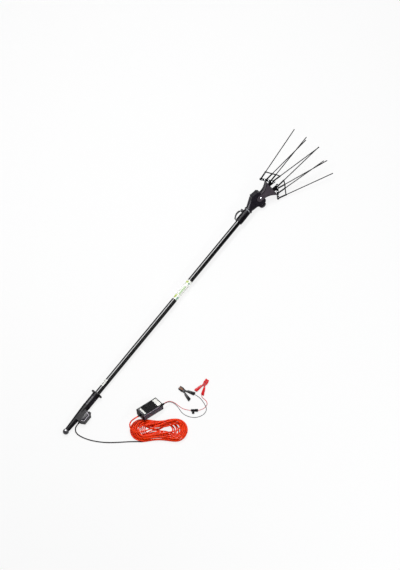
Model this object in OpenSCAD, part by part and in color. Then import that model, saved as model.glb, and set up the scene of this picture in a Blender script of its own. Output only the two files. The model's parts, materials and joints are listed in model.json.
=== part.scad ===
// Electric olive harvester with its supply leads, lying on the ground. Millimetres, +Z up.
// The pole runs along +X. The origin is on the ground under the middle of the tool.

/* [Pole] */
// Outside diameter of the outer tube
outer_d = 32; // [30:0.5:36]
// Outside diameter of the inner tube
inner_d = 28; // [24:0.5:28]
// Wall of both tubes
tube_wall = 1.5; // [1:0.1:1.8]
// Front end of the outer tube, from the middle of the ball
outer_end = 1705; // [1400:5:1900]
// How far the inner tube can be drawn out
pull_out = 750; // [300:10:800]
// Length of inner tube that stays inside when drawn out
stay_in = 70; // [50:5:120]

/* [Handle] */
// Radius of the ball at the handle's end
ball_r = 18; // [15:0.5:22]
// Diameter of the grip
grip_d = 44; // [40:0.5:48]
// Diameter of the neck behind the ball
neck_d = 27; // [24:0.5:30]
// Rear end of the outer tube inside the handle
tube_start = 100; // [90:1:110]
// Middle of the hand guard
guard_x = 286; // [270:1:320]
// Width of the hand guard
guard_w = 72; // [60:1:90]
// Height of the hand guard
guard_h = 50; // [48:1:56]
// Thickness of the hand guard
guard_t = 6; // [4:0.5:8]
// Thickness of the switch housing
housing_t = 40; // [36:1:42]
// Travel of the trigger
trigger_travel = 5; // [3:0.5:5]

/* [Lock] */
// Outside diameter of the lock collar
collar_d = 44; // [40:0.5:50]
// Length of the lock collar
collar_len = 84; // [70:1:100]
// Length of the lock lever
lever_len = 68; // [60:1:80]

/* [Head] */
// Length of bare inner tube that shows behind the flange
bare_len = 12; // [6:1:20]
// Diameter of the flange on the neck
flange_d = 50; // [46:1:56]
// Middle of the bend, in front of the flange
bend_ahead = 98; // [90:1:110]
// Angle between the pole and the head
bend = 22; // [10:1:30]
// Turn of the head about the pole
head_roll = 41.5; // [35:0.5:45]
// Half width of the gear housing
gear_half_w = 41; // [38:0.5:46]
// Half thickness of the head
head_half_t = 24; // [22:0.5:26]
// Half width of the fan at its mouth
mouth_half_w = 54; // [53:0.5:55]
// Front edge of the fan, from the bend
mouth_u = 100; // [99:0.5:101]
// Wall of the head shells
shell_wall = 4; // [3:0.25:5]
// Diameter of the motor
motor_d = 32; // [28:0.5:33]

/* [Combs] */
// Distance of each comb pivot from the centre line
pivot_y = 22; // [21:0.5:23]
// Distance of the comb pivots from the bend
pivot_u = 90; // [89:0.5:91]
// Diameter of the tines
tine_d = 5.5; // [4:0.25:6]
// Swing of each comb to either side
swing = 8; // [4:0.5:8]

/* [Supply] */
// Diameter of the handle lead
lead_d = 7; // [6:0.5:8]
// Diameter of the extension cable
cable_d = 8; // [7:0.5:8]
// Diameter of the battery leads
wire_d = 3.6; // [3:0.2:3.8]
// Length of the control box
box_len = 140; // [130:1:150]
// Width of the control box
box_w = 70; // [64:1:74]
// Height of the control box
box_h = 45; // [42:1:48]
// Length of each clamp arm
clamp_len = 92; // [80:1:96]

/* [Hidden] */
$fn = 64;
coarse_fn = 32;

// Clearances: running fit on pins, seat of fixed pieces, free gap of sliding pieces, overrun of cuts
run_fit = 0.05;
seat_fit = 0.02;
slide_fit = 0.3;
over = 1;

// Derived sizes of the pole and the handle
outer_bore = outer_d - 2 * tube_wall;
bush_len = 40;
flange_x = outer_end + bare_len;
flange_t = 7;
inner_start = outer_end - pull_out - stay_in;
socket_depth = 22;
inner_stop = flange_x + socket_depth;
slide_bush_len = 24;
neck_r = neck_d / 2;
grip_r = grip_d / 2;
grip_start = 175;
neck_end = 13;
stem_d = 13;
stem_len = 34;
shell_front = guard_x - guard_t / 2;
guard_flat = guard_w - guard_h;

// Switch housing: corners seen from above, ahead of the ball and out from the pole
housing_rear = 92;
housing_front = 170;
housing_out = 58;
housing_nose = 9;
housing_tail = 13;
housing_root = 22;
housing_step = 34;
switch_len = 34;
switch_w = 24;
switch_t = 18;
switch_x = 112;
switch_y = 42;
trigger_w = 20;
trigger_t = 14;
trigger_out = 6;
trigger_flange = 2;
trigger_flange_len = 4;
trigger_air = 1;
trigger_gap = trigger_travel + trigger_air;
gland_d = 13;
gland_tip_d = 9;
gland_y = 27;
gland_len = 14;
gland_in = 10;
screw_d = 4;
screw_head_d = 7;
screw_head_t = 2.5;
handle_screw_xs = [104, 161, 70];
handle_screw_ys = [44, 24.5, 0];

// Lock: the lever lies along the collar on its left side and swings out about a pin
collar_lip = 4;
collar_front = outer_end + collar_lip;
collar_rear = collar_front - collar_len;
ear_gap = 12;
ear_t = 5;
lever_pin_d = 5;
lever_stand = 8;
lever_pin_y = collar_d / 2 + lever_stand;
lever_set_back = 14;
lever_pin_x = collar_front - lever_set_back;
lever_t = 4;
lever_rise = 11;
lever_w = ear_gap - 2 * slide_fit;
boss_d = 12;

// Head: sizes along the head axis from the bend, across it, and above its middle plane
bend_x = flange_x + bend_ahead;
gear_rear = 34;
gear_front = 30;
gear_corner = 10;
gear_top = 20;
gear_bottom = 24;
cover_t = 4;
motor_u = -6;
cap_d = 42;
cap_len = 22;
cap_round = 8;
gearbox_front = 13;
gearbox_len = 12;
shaft_d = 6;
crank_d = 26;
crank_t = 5;
crank_gap = 0.6;
pin_d = 5;
tail_len = pivot_y;
crank_r = tail_len * swing * PI / 180;
yoke_play = 1.5;
yoke_t = 8;
yoke_half_h = 14;
yoke_half_len = 13;
rod_t = 8;
fork_back = 16;
fork_ahead = 8;
fork_start = pivot_u - fork_back;
fork_front = pivot_u + fork_ahead;
fork_t = 3.4;
tail_t = 5;
tail_gap = 0.6;
fork_air = 0.5;
fork_gap = tail_gap / 2 + tail_t + fork_air;
guide_start = 44;
guide_len = 18;
guide_half_w = 11;
fan_neck_half_w = 17;
lobe_len = 24;
fan_steps = 10;
screw_boss_d = 9;
pivot_d = 8;
pivot_boss_d = 16;
pivot_boss_half = 12;
neck_small_d = 38;
neck_plate_t = 2;
neck_plate_half_w = 32;
neck_plate_low = 23;
neck_plate_high = 19;

// Combs: the bar leans back from its inner end; tines stand along it
bar_inner_y = 15;
bar_inner_u = 138;
bar_len = 96;
bar_lean = 34;
bar_t = 14;
bar_depth = 10;
comb_lift = 8;
arm_w = 14;
sleeve_d = 9;
sleeve_len = 50;
sleeve_in = 6;
tine_lens = [339, 339, 333, 359];
tine_leans = [-4, 12, 5.5, 17.5];
tine_place_shares = [0.12, 0.31, 0.58, 0.95];
tine_lift_shares = [-0.45, 0.45, -0.45, 0];
spacer_t = 4;

// Ground: the tool lies on its guard and on the motor cap, so the pole rises a little towards the head
cap_end = gear_half_w + cap_len;
cap_drop = cap_end * sin(head_roll) + cap_d / 2 * cos(head_roll) - motor_u * sin(bend) * cos(head_roll);
cap_x = bend_x + motor_u * cos(bend);
guard_rear = guard_x - guard_t / 2;
slope = atan((cap_drop - guard_h / 2) / (cap_x - guard_rear));
rise = guard_h / 2 * cos(slope) - guard_rear * sin(slope);

// Place of a point of the head in the tool's own frame, and of a point of the tool on the ground
function in_tool(p) = let (a = p[0] * sin(bend) + p[2] * cos(bend))
    [bend_x + p[0] * cos(bend) - p[2] * sin(bend),
     p[1] * cos(head_roll) - a * sin(head_roll),
     p[1] * sin(head_roll) + a * cos(head_roll)];
function on_ground(p) = [p[0] * cos(slope) - p[2] * sin(slope), p[1],
    p[0] * sin(slope) + p[2] * cos(slope)];
function bar_point(share) = [bar_inner_u - share * bar_len * sin(bar_lean),
    bar_inner_y + share * bar_len * cos(bar_lean)];
function tine_base(i) = bar_point(tine_place_shares[i]);
function tine_lift(i) = comb_lift + tine_lift_shares[i] * sleeve_d;
function tine_at(i, run) = [tine_base(i)[0] + run * cos(tine_leans[i]),
    tine_base(i)[1] + run * sin(tine_leans[i]), tine_lift(i)];
function flip(p, side) = [p[0], side * p[1], side * p[2]];
tips = [for (side = [1, -1], i = [0:len(tine_lens) - 1])
    on_ground(in_tool(flip(tine_at(i, tine_lens[i]), side)))];
tip_half = tine_d / 2;
mid_x = (max([for (p = tips) p[0]]) + tip_half / 2 - ball_r) / 2;
mid_y = (max([for (p = tips) p[1]]) + min([for (p = tips) p[1]])) / 2;

// Further sizes of the handle, the lock and the head
screw_half = 12;
trigger_y = 40;
trigger_rear = switch_x + switch_len + trigger_gap;
trigger_tip = housing_front + trigger_out;
trigger_slant = 6;
lever_dip = 5.5;
ear_slot = 4;
lever_steps = 10;
cover_screw_inset = 9;
cover_screw_len = 16;
gear_room = 15;
cap_wall = 4;
fork_half_w = 6;
head_room = head_half_t - shell_wall;
pivot_pin_half = head_half_t - shell_wall / 2;
lobe_screw_u = 14;
fan_screw_u = 70;
fan_screw_y = 17;
tail_half_w = 6;
tail_play = 0.6;
arm_low = 1;
arm_high = 11.5;
arm_reach_share = 0.35;

// Cords: routes on the ground beside the tool, measured from under the middle of the ball
cord_sides = 8;
wire_sides = 8;
lead_route = [[78, -27, 20.2], [64, -27.4, 20], [52.5, -29.5, 18.6], [42.5, -35.3, 16],
    [35.3, -44.2, 12.8], [31.4, -55.2, 9.8], [30.8, -67.5, 7.2], [32.5, -83, 5], [37, -104, 3.6],
    [45, -130, 3.5], [57, -158, 3.5], [73, -188, 3.5], [92, -218, 3.5], [113, -246, 3.5],
    [136, -273, 3.5], [160, -300, 3.5], [182, -325, 3.8], [196.7, -343.5, 4], [206.4, -355.9, 4]];
hank_x = 339;
hank_y = -416;
hank_turn = -52;
hank_r = 66;
hank_run = 100;
hank_waist = 10;
loops = 4;
layers = 4;
loop_air = 1.4;
loop_pitch = cable_d + loop_air;
layer_air = 0.6;
layer_step = cable_d + layer_air;
rings_per_loop = 24;
open_rings = 15;
coil_rings = layers * loops * rings_per_loop - open_rings;
coil_sides = 6;
lead_in = 95;
lead_stand = 1.5;
plug_len = 34;
plug_d = 8;
plug_step = 1;
tail_route = [[100, 60.1, 29.8], [84, 59.6, 30.4], [66, 57, 33], [46, 51.5, 36.6], [24, 44, 38.4],
    [0, 37, 38.4], [-30, 30.5, 38.4], [-60, 25, 38.4], [-82, 21, 38.4], [-95, 18.5, 38.4],
    [-106, 12.5, 38.4], [-114.5, 3, 38.4], [-118.5, -9, 38.4], [-117.5, -21.5, 38.4],
    [-112, -33, 38.4], [-102.5, -41.5, 38.4], [-91, -46, 38.4], [-78, -46, 38.4],
    [-54, -41, 38.4], [-24, -36, 38.4], [6, -30.5, 38.4], [36, -25, 38.4], [66, -20, 38.4],
    [86, -16.5, 38.4], [99, -14, 38.6], [110.5, -8.5, 39.4], [119.5, 0.5, 40.8],
    [124.5, 12, 42.4], [124.5, 24.5, 44], [120, 36.5, 45.4], [111.5, 45.5, 46.4], [100, 50.5, 47],
    [88, 51, 47.2], [72, 47, 47.2], [52, 40, 47.2], [32, 32, 47.2], [8, 21, 47.2], [-18, 9, 47.2],
    [-44, -2.5, 47.2], [-72, -14, 47.2], [-98, -21.5, 47.2], [-120, -24, 47.2], [-137, -22, 47.8],
    [-151.5, -15, 49], [-162, -4, 51], [-167.5, 10, 54], [-167, 25, 58], [-160, 38, 61.5],
    [-148.5, 47.5, 63.6], [-138, 54.5, 64], [-120.6, 67, 60.7]];

// Control box and what is on the battery leads
box_x = 399;
box_y = -303;
box_yaw = -16;
box_pitch = 10;
box_roll = -22.5;
box_wall = 3;
box_split = 12;
box_screw_inset = 8;
box_screw_len = 24;
box_in_y = 0;
box_out_y = -22;
box_gland_z = 0;
box_gland_d = 15;
box_gland_tip_d = 9;
box_gland_len = 16;
board_inset = 14;
board_t = 2;
coil_part = 24;
fin_h = 3;
fin_t = 3;
fin_pitch = 6;
fin_count = 11;
fin_run = 70;
red_feed_route = [[476.4, -344.2, 38.3], [490, -348, 35.5], [503, -353, 29], [514, -360, 20],
    [522, -370, 11], [527, -383, 5], [528, -398, 2], [527, -415, 2], [527, -432, 2.2],
    [530, -450, 4], [537, -469, 7], [547, -487, 9]];
red_end_route = [[574, -521, 9], [583, -528, 7.2], [593, -533, 4.2], [604, -538, 2],
    [618, -541, 2], [632, -540, 2], [643, -533, 2], [649, -522, 2.4], [650.5, -509, 3.6],
    [649.5, -497, 5.6], [650.5, -489.5, 6.8], [654, -483.8, 7.4], [659, -480.5, 7.5],
    [664.6, -479.4, 7.5]];
black_route = [[475.6, -347.8, 39.8], [489, -352, 37], [502, -358, 30], [512, -366, 21], [519, -377, 12],
    [522, -391, 5], [521, -407, 2], [516, -424, 2], [509, -442, 2], [505, -460, 2], [506, -480, 2],
    [512, -502, 2], [523, -524, 2], [540, -543, 2], [562, -556, 2], [585, -561, 2], [603, -558, 4],
    [614, -550, 5.6], [621, -539, 6.4], [627, -526, 5.6], [634, -509, 3.5], [640, -490, 3], [641, -468, 5],
    [637.5, -441, 7.5]];
fuse_x = 547;
fuse_y = -487;
fuse_turn = -52;
fuse_len = 43;
fuse_cap_len = 16;
fuse_d = 18;
fuse_step = 3;
jaw_len = 34;
jaw_gap = 0.5;
jaw_t = 7;
clamp_back = clamp_len - jaw_len;
clamp_spread = 21.5;
clamp_arm_t = 14;
clamp_t = 15;
clamp_pin_d = 5;
knuckle_r = 9;
knuckle_share = 0.3;
red_x = 720;
red_y = -452;
red_turn = 186;
black_x = 616;
black_y = -383;
black_turn = -90;

// Placement of the tool on the ground, of loose pieces beside it, and of the head on the pole
module lay() {
    translate([-mid_x, -mid_y, rise]) rotate([0, -slope, 0]) children();
}
module beside() {
    translate([-mid_x, -mid_y, 0]) children();
}
module head() {
    lay() translate([bend_x, 0, 0]) rotate([head_roll, 0, 0]) rotate([0, -bend, 0]) children();
}

// A round bar along X, a round bar across the head, and a block between two corners
module bar_x(from, to, d) {
    translate([from, 0, 0]) rotate([0, 90, 0]) cylinder(d = d, h = to - from);
}
module bar_y(from, to, d) {
    translate([0, from, 0]) rotate([-90, 0, 0]) cylinder(d = d, h = to - from);
}
module block(low, high) {
    translate(low) cube(high - low);
}

module outer_tube() {
    color("#141416") lay() difference() {
        bar_x(tube_start, outer_end, outer_d);
        bar_x(tube_start - over, outer_end + over, outer_bore);
    }
}
module tube_bush() {
    color("#2a2a2c") lay() difference() {
        bar_x(outer_end - bush_len, outer_end, outer_bore - 2 * seat_fit);
        bar_x(outer_end - bush_len - over, outer_end + over, inner_d + 2 * run_fit);
    }
}

// Handle: two half shells round the tube's end, with the switch housing on the right side
module housing_outline() {
    polygon([[housing_front, 0], [housing_front, -housing_root],
        [housing_front - housing_nose, -housing_out], [housing_rear + housing_tail, -housing_out],
        [housing_rear, -housing_step], [housing_rear, 0]]);
}
module handle_screw_holes() {
    for (i = [0:len(handle_screw_xs) - 1])
        translate([handle_screw_xs[i], -handle_screw_ys[i], 0]) {
            translate([0, 0, -screw_half])
                cylinder(d = screw_d + 2 * seat_fit, h = 2 * screw_half);
            translate([0, 0, -housing_t])
                cylinder(d = screw_head_d + 2 * seat_fit, h = housing_t - screw_half);
        }
}
module handle_half(side) {
    difference() {
        union() {
            rotate([90 * side, 0, 0]) rotate([0, 90, 0]) rotate_extrude(angle = 180) polygon([[0, neck_end],
                [neck_r, neck_end], [grip_r, grip_start], [grip_r, shell_front], [0, shell_front]]);
            translate([0, 0, (side - 1) * housing_t / 4]) linear_extrude(housing_t / 2) housing_outline();
        }
        sphere(r = ball_r + seat_fit);
        bar_x(0, neck_end + stem_len, stem_d + 2 * seat_fit);
        bar_x(tube_start, shell_front + over, outer_d + 2 * seat_fit);
        switch_space(seat_fit);
        trigger_space(slide_fit);
        translate([0, -gland_y, 0]) bar_x(0, housing_rear + gland_in + seat_fit, gland_d + 2 * seat_fit);
        handle_screw_holes();
    }
}
module switch_space(gap) {
    block([switch_x - gap, -switch_y - switch_w / 2 - gap, -switch_t / 2 - gap],
        [switch_x + switch_len + gap, -switch_y + switch_w / 2 + gap, switch_t / 2 + gap]);
}
module trigger_space(gap) {
    block([switch_x + switch_len - gap, -trigger_y - trigger_w / 2 - trigger_flange - gap,
        -trigger_t / 2 - trigger_flange - gap],
        [trigger_rear + trigger_flange_len + gap, -trigger_y + trigger_w / 2 + trigger_flange + gap,
        trigger_t / 2 + trigger_flange + gap]);
    block([trigger_rear, -trigger_y - trigger_w / 2 - gap, -trigger_t / 2 - gap],
        [trigger_tip + over, -trigger_y + trigger_w / 2 + gap, trigger_t / 2 + gap]);
}
module handle_upper_shell() {
    color("#26242a") lay() handle_half(1);
}
module handle_lower_shell() {
    color("#222026") lay() handle_half(-1);
}
module handle_screws() {
    color("#8a8a8c") lay() for (i = [0:len(handle_screw_xs) - 1])
        translate([handle_screw_xs[i], -handle_screw_ys[i], 0]) {
            translate([0, 0, -screw_half]) cylinder(d = screw_d, h = 2 * screw_half);
            translate([0, 0, -screw_half - screw_head_t]) cylinder(d = screw_head_d, h = screw_head_t);
        }
}
module hand_guard() {
    color("#1c1a1e") lay() translate([shell_front, 0, 0]) difference() {
        rotate([90, 0, 90]) linear_extrude(guard_t) {
            square([guard_flat, guard_h], center = true);
            for (side = [-1, 1]) translate([side * guard_flat / 2, 0]) circle(d = guard_h);
        }
        bar_x(-over, guard_t + over, outer_d + 2 * seat_fit);
    }
}
module ball_end() {
    color("#2c2a30") lay() {
        sphere(r = ball_r);
        bar_x(0, neck_end + stem_len - seat_fit, stem_d);
    }
}
module trigger_button() {
    color("#101012") lay() {
        block([trigger_rear, -trigger_y - trigger_w / 2 - trigger_flange,
            -trigger_t / 2 - trigger_flange],
            [trigger_rear + trigger_flange_len, -trigger_y + trigger_w / 2 + trigger_flange,
            trigger_t / 2 + trigger_flange]);
        translate([0, 0, -trigger_t / 2]) linear_extrude(trigger_t) polygon([
            [trigger_rear, -trigger_y - trigger_w / 2],
            [trigger_tip - trigger_slant, -trigger_y - trigger_w / 2],
            [trigger_tip, -trigger_y], [trigger_tip, -trigger_y + trigger_w / 2],
            [trigger_rear, -trigger_y + trigger_w / 2]]);
    }
}
module switch_block() {
    color("#3a3a3c") lay() switch_space(0);
}
module lead_gland() {
    color("#141416") lay() translate([0, -gland_y, 0]) {
        bar_x(housing_rear, housing_rear + gland_in, gland_d);
        translate([housing_rear - gland_len, 0, 0]) rotate([0, 90, 0])
            cylinder(d1 = gland_tip_d, d2 = gland_d, h = gland_len);
    }
}

// Lock: a collar on the tube's mouth with two ears, and a bowed lever on a pin between them
module lock_collar() {
    color("#1a181c") lay() difference() {
        union() {
            bar_x(collar_rear, collar_front, collar_d);
            for (side = [-1, 1])
                translate([lever_pin_x, 0, side * (ear_gap + ear_t) / 2 - ear_t / 2]) {
                    translate([-boss_d / 2, 0, 0]) cube([boss_d, lever_pin_y, ear_t]);
                    translate([0, lever_pin_y, 0]) cylinder(d = boss_d, h = ear_t);
                }
        }
        bar_x(collar_rear - over, outer_end + seat_fit, outer_d + 2 * seat_fit);
        bar_x(outer_end, collar_front + over, inner_d + 2 * slide_fit);
        translate([lever_pin_x, lever_pin_y, -collar_d / 2])
            cylinder(d = lever_pin_d + 2 * seat_fit, h = collar_d);
        block([lever_pin_x - boss_d, collar_d / 2 - ear_slot, -ear_gap / 2],
            [collar_front + over, collar_d, ear_gap / 2]);
    }
}
module lever_pin() {
    color("#9a9a9c") lay() translate([lever_pin_x, lever_pin_y, -ear_gap / 2 - ear_t])
        cylinder(d = lever_pin_d, h = ear_gap + 2 * ear_t);
}
function lever_line(share, out) = [lever_pin_x - share * lever_len,
    lever_pin_y + lever_rise * sin(180 * share) - lever_dip * share + out];
module lock_lever() {
    color("#1e1c20") lay() translate([0, 0, -lever_w / 2]) difference() {
        union() {
            translate([lever_pin_x, lever_pin_y, 0]) cylinder(d = boss_d - 2 * slide_fit, h = lever_w);
            linear_extrude(lever_w) polygon(concat(
                [for (k = [0:lever_steps]) lever_line(k / lever_steps, lever_t / 2)],
                [for (k = [lever_steps:-1:0]) lever_line(k / lever_steps, -lever_t / 2)]));
        }
        translate([lever_pin_x, lever_pin_y, -over])
            cylinder(d = lever_pin_d + 2 * run_fit, h = lever_w + 2 * over);
    }
}

// Inner tube with its sliding bush, drawn out through the mouth of the outer tube
module inner_tube() {
    color("#c8c8ca") lay() difference() {
        bar_x(inner_start, inner_stop, inner_d);
        bar_x(inner_start - over, inner_stop + over, inner_d - 2 * tube_wall);
    }
}
module slide_bush() {
    color("#d8d4c8") lay() {
        bar_x(inner_start - slide_bush_len, inner_start, outer_bore - 2 * run_fit);
        bar_x(inner_start, inner_start + slide_bush_len / 2, inner_d - 2 * tube_wall - 2 * seat_fit);
    }
}

// Neck: a flange on the inner tube, widening to the rear face of the gear housing
module neck_socket() {
    color("#2a282e") difference() {
        union() {
            lay() bar_x(flange_x, flange_x + flange_t, flange_d);
            hull() {
                lay() bar_x(flange_x + flange_t / 2, flange_x + 2 * flange_t, neck_small_d,
                    $fn = coarse_fn);
                head() block([-gear_rear - neck_plate_t, -neck_plate_half_w, -neck_plate_low],
                    [-gear_rear, neck_plate_half_w, neck_plate_high]);
            }
        }
        lay() bar_x(flange_x - over, inner_stop, inner_d + 2 * seat_fit);
    }
}

// Gear housing: holds the motor crosswise, with the crank and the yoke in its middle
module gear_outline() {
    polygon([[-gear_rear, gear_corner - gear_half_w], [gear_corner - gear_rear, -gear_half_w],
        [gear_front - gear_corner, -gear_half_w], [gear_front, gear_corner - gear_half_w],
        [gear_front, gear_half_w - gear_corner], [gear_front - gear_corner, gear_half_w],
        [gear_corner - gear_rear, gear_half_w], [-gear_rear, gear_half_w - gear_corner]]);
}
module cover_screw_places() {
    for (u = [cover_screw_inset - gear_rear, gear_front - cover_screw_inset], side = [-1, 1])
        translate([u, side * (gear_half_w - cover_screw_inset), 0]) children();
}
module gear_housing() {
    color("#201e24") head() difference() {
        translate([0, 0, cover_t - gear_bottom])
            linear_extrude(gear_top + gear_bottom - cover_t) gear_outline();
        translate([motor_u, 0, 0]) bar_y(-gear_half_w - over, -gearbox_front, motor_d + 2 * seat_fit);
        block([motor_u - yoke_half_len - crank_r - over, -gearbox_front - over, -gear_room],
            [gear_front + over, gear_room, gear_room]);
        translate([0, 0, -gear_bottom])
            cover_screw_places() cylinder(d = screw_d + 2 * seat_fit, h = cover_screw_len + seat_fit);
        translate([lobe_screw_u, 0, gear_room - over])
            cylinder(d = screw_d + 2 * seat_fit, h = gear_top);
    }
}
module housing_cover() {
    color("#1c1a1e") head() difference() {
        translate([0, 0, -gear_bottom]) linear_extrude(cover_t) gear_outline();
        translate([0, 0, -gear_bottom - over]) cover_screw_places() {
            cylinder(d = screw_d + 2 * seat_fit, h = gear_bottom);
            cylinder(d = screw_head_d + 2 * seat_fit, h = screw_head_t + over);
        }
    }
}
module motor_end_cap() {
    color("#2c2a30") head() translate([motor_u, -gear_half_w, 0]) rotate([90, 0, 0]) difference() {
        rotate_extrude() {
            square([cap_d / 2, cap_len - cap_round]);
            square([cap_d / 2 - cap_round, cap_len]);
            translate([cap_d / 2 - cap_round, cap_len - cap_round]) intersection() {
                circle(r = cap_round);
                square(cap_round);
            }
        }
        translate([0, 0, -over]) cylinder(d = motor_d + 2 * seat_fit, h = cap_len - cap_wall + over);
    }
}
module motor_can() {
    color("#b4b4b6") head() translate([motor_u, 0, 0])
        bar_y(cap_wall + seat_fit - gear_half_w - cap_len, -gearbox_front - gearbox_len, motor_d);
}
module gearbox() {
    color("#8e8e90") head() translate([motor_u, 0, 0]) {
        bar_y(-gearbox_front - gearbox_len, -gearbox_front, motor_d);
        bar_y(-gearbox_front, -gearbox_front + crank_gap + crank_t - seat_fit, shaft_d);
    }
}
module crank() {
    color("#a0a0a2") head() translate([motor_u, -gearbox_front + crank_gap, 0]) difference() {
        union() {
            bar_y(0, crank_t, crank_d);
            translate([0, 0, crank_r]) bar_y(crank_t, gearbox_front - crank_gap + yoke_t / 2, pin_d);
        }
        bar_y(-over, crank_t + over, shaft_d + 2 * run_fit);
    }
}
module crosshead() {
    color("#90908c") head() difference() {
        union() {
            block([motor_u - yoke_half_len, -yoke_t / 2, -yoke_half_h],
                [motor_u + yoke_half_len, yoke_t / 2, yoke_half_h]);
            block([motor_u, -rod_t / 2, -rod_t / 2], [fork_start, rod_t / 2, rod_t / 2]);
            block([fork_start, -fork_half_w, -fork_gap - fork_t],
                [fork_start + fork_t, fork_half_w, fork_gap + fork_t]);
            for (side = [0, 1]) mirror([0, 0, side])
                block([fork_start, -fork_half_w, fork_gap],
                    [fork_front, fork_half_w, fork_gap + fork_t]);
            translate([pivot_u, 0, -fork_gap - fork_t]) cylinder(d = pin_d, h = 2 * (fork_gap + fork_t));
        }
        block([motor_u - pin_d / 2 - yoke_play, -yoke_t, -crank_r - pin_d / 2 - yoke_play],
            [motor_u + pin_d / 2 + yoke_play, yoke_t, crank_r + pin_d / 2 + yoke_play]);
    }
}
module rod_guide() {
    color("#4a4a4c") head() difference() {
        block([guide_start, -guide_half_w, -head_room],
            [guide_start + guide_len, guide_half_w, head_room]);
        block([guide_start - over, -rod_t / 2 - slide_fit, -rod_t / 2 - slide_fit],
            [guide_start + guide_len + over, rod_t / 2 + slide_fit, rod_t / 2 + slide_fit]);
    }
}

// Fan: two half shells that flare from the gear housing to an open mouth
function fan_half_w(share) = fan_neck_half_w + (mouth_half_w - fan_neck_half_w) * share * share;
function fan_point(share, side, inset) = [gear_front + share * (mouth_u - gear_front),
    side * (fan_half_w(share) - inset)];
module fan_outline(inset) {
    polygon(concat([for (k = [0:fan_steps]) fan_point(k / fan_steps, 1, inset)],
        [for (k = [fan_steps:-1:0]) fan_point(k / fan_steps, -1, inset)]));
}
module fan_screw_places() {
    for (side = [-1, 1]) translate([fan_screw_u, side * fan_screw_y, 0]) children();
}
module fan_half() {
    difference() {
        union() {
            difference() {
                linear_extrude(head_half_t) fan_outline(0);
                translate([0, 0, -over]) linear_extrude(head_room + over) fan_outline(shell_wall);
                block([mouth_u - shell_wall, -mouth_half_w + shell_wall, -over],
                    [mouth_u + over, mouth_half_w - shell_wall, head_room]);
            }
            for (side = [-1, 1]) translate([pivot_u, side * pivot_y, pivot_boss_half + slide_fit])
                cylinder(d = pivot_boss_d, h = head_half_t - pivot_boss_half - slide_fit);
            fan_screw_places() cylinder(d = screw_boss_d, h = head_half_t);
        }
        for (side = [-1, 1]) translate([pivot_u, side * pivot_y, 0])
            cylinder(d = pivot_d + 2 * seat_fit, h = pivot_pin_half + seat_fit);
    }
}
module head_front_shell() {
    color("#4b464c") head() difference() {
        union() {
            fan_half();
            translate([0, 0, gear_top]) linear_extrude(head_half_t - gear_top) {
                translate([gear_front - lobe_len, 0]) circle(r = fan_neck_half_w);
                translate([gear_front - lobe_len, -fan_neck_half_w])
                    square([lobe_len, 2 * fan_neck_half_w]);
            }
        }
        fan_screw_places() translate([0, 0, -over])
            cylinder(d = screw_d + 2 * seat_fit, h = screw_half + over);
        translate([lobe_screw_u, 0, 0]) cylinder(d = screw_d + 2 * seat_fit, h = head_half_t + over);
        translate([lobe_screw_u, 0, head_half_t - screw_head_t])
            cylinder(d = screw_head_d + 2 * seat_fit, h = screw_head_t + over);
    }
}
module head_rear_shell() {
    color("#1e1c20") head() difference() {
        rotate([180, 0, 0]) fan_half();
        fan_screw_places() translate([0, 0, -head_half_t - over]) {
            cylinder(d = screw_d + 2 * seat_fit, h = head_half_t + 2 * over);
            cylinder(d = screw_head_d + 2 * seat_fit, h = screw_head_t + over);
        }
    }
}
module screw(len) {
    cylinder(d = screw_head_d, h = screw_head_t);
    cylinder(d = screw_d, h = len);
}
module head_screws() {
    color("#c4c4c6") head() {
        fan_screw_places() translate([0, 0, -head_half_t]) screw(head_half_t + screw_half - seat_fit);
        translate([0, 0, -gear_bottom]) cover_screw_places() screw(cover_screw_len);
        translate([lobe_screw_u, 0, head_half_t]) rotate([180, 0, 0])
            screw(head_half_t - gear_room - seat_fit);
    }
}
module pivot_pin(side) {
    color("#9c9c9e") head() translate([pivot_u, side * pivot_y, -pivot_pin_half])
        cylinder(d = pivot_d, h = 2 * pivot_pin_half);
}
module left_pivot_pin() {
    pivot_pin(1);
}
module right_pivot_pin() {
    pivot_pin(-1);
}

// Combs: each swings on its pin, driven at its tail; the right one is the left one turned over
module along_tine(i, run) {
    translate(tine_at(i, run)) rotate([0, 0, tine_leans[i]]) rotate([0, 90, 0]) children();
}
module comb() {
    difference() {
        union() {
            translate([pivot_u, pivot_y, -pivot_boss_half])
                cylinder(d = pivot_boss_d - 2 * slide_fit, h = 2 * pivot_boss_half);
            block([pivot_u - tail_half_w, -tail_half_w, tail_gap / 2],
                [pivot_u + tail_half_w, pivot_y, tail_gap / 2 + tail_t]);
            translate([0, 0, arm_low]) linear_extrude(arm_high - arm_low)
                polygon([[pivot_u, pivot_y - arm_w / 2], bar_point(0), bar_point(arm_reach_share),
                    [pivot_u, pivot_y + arm_w / 2]]);
            translate([bar_inner_u, bar_inner_y, comb_lift - bar_t / 2]) rotate([0, 0, bar_lean])
                translate([-bar_depth / 2, 0, 0]) cube([bar_depth, bar_len, bar_t]);
            for (i = [0:len(tine_lens) - 1])
                along_tine(i, -sleeve_in) cylinder(d = sleeve_d, h = sleeve_in + sleeve_len);
        }
        translate([pivot_u, pivot_y, -head_half_t])
            cylinder(d = pivot_d + 2 * run_fit, h = 2 * head_half_t);
        block([pivot_u - pin_d / 2 - 2 * run_fit, -pin_d / 2 - tail_play, -over],
            [pivot_u + pin_d / 2 + 2 * run_fit, pin_d / 2 + tail_play, arm_high]);
        for (i = [0:len(tine_lens) - 1])
            along_tine(i, 0) cylinder(d = tine_d + 2 * seat_fit, h = sleeve_len + over);
    }
}
module tines() {
    for (i = [0:len(tine_lens) - 1]) along_tine(i, 0) cylinder(d = tine_d, h = tine_lens[i]);
}
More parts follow.
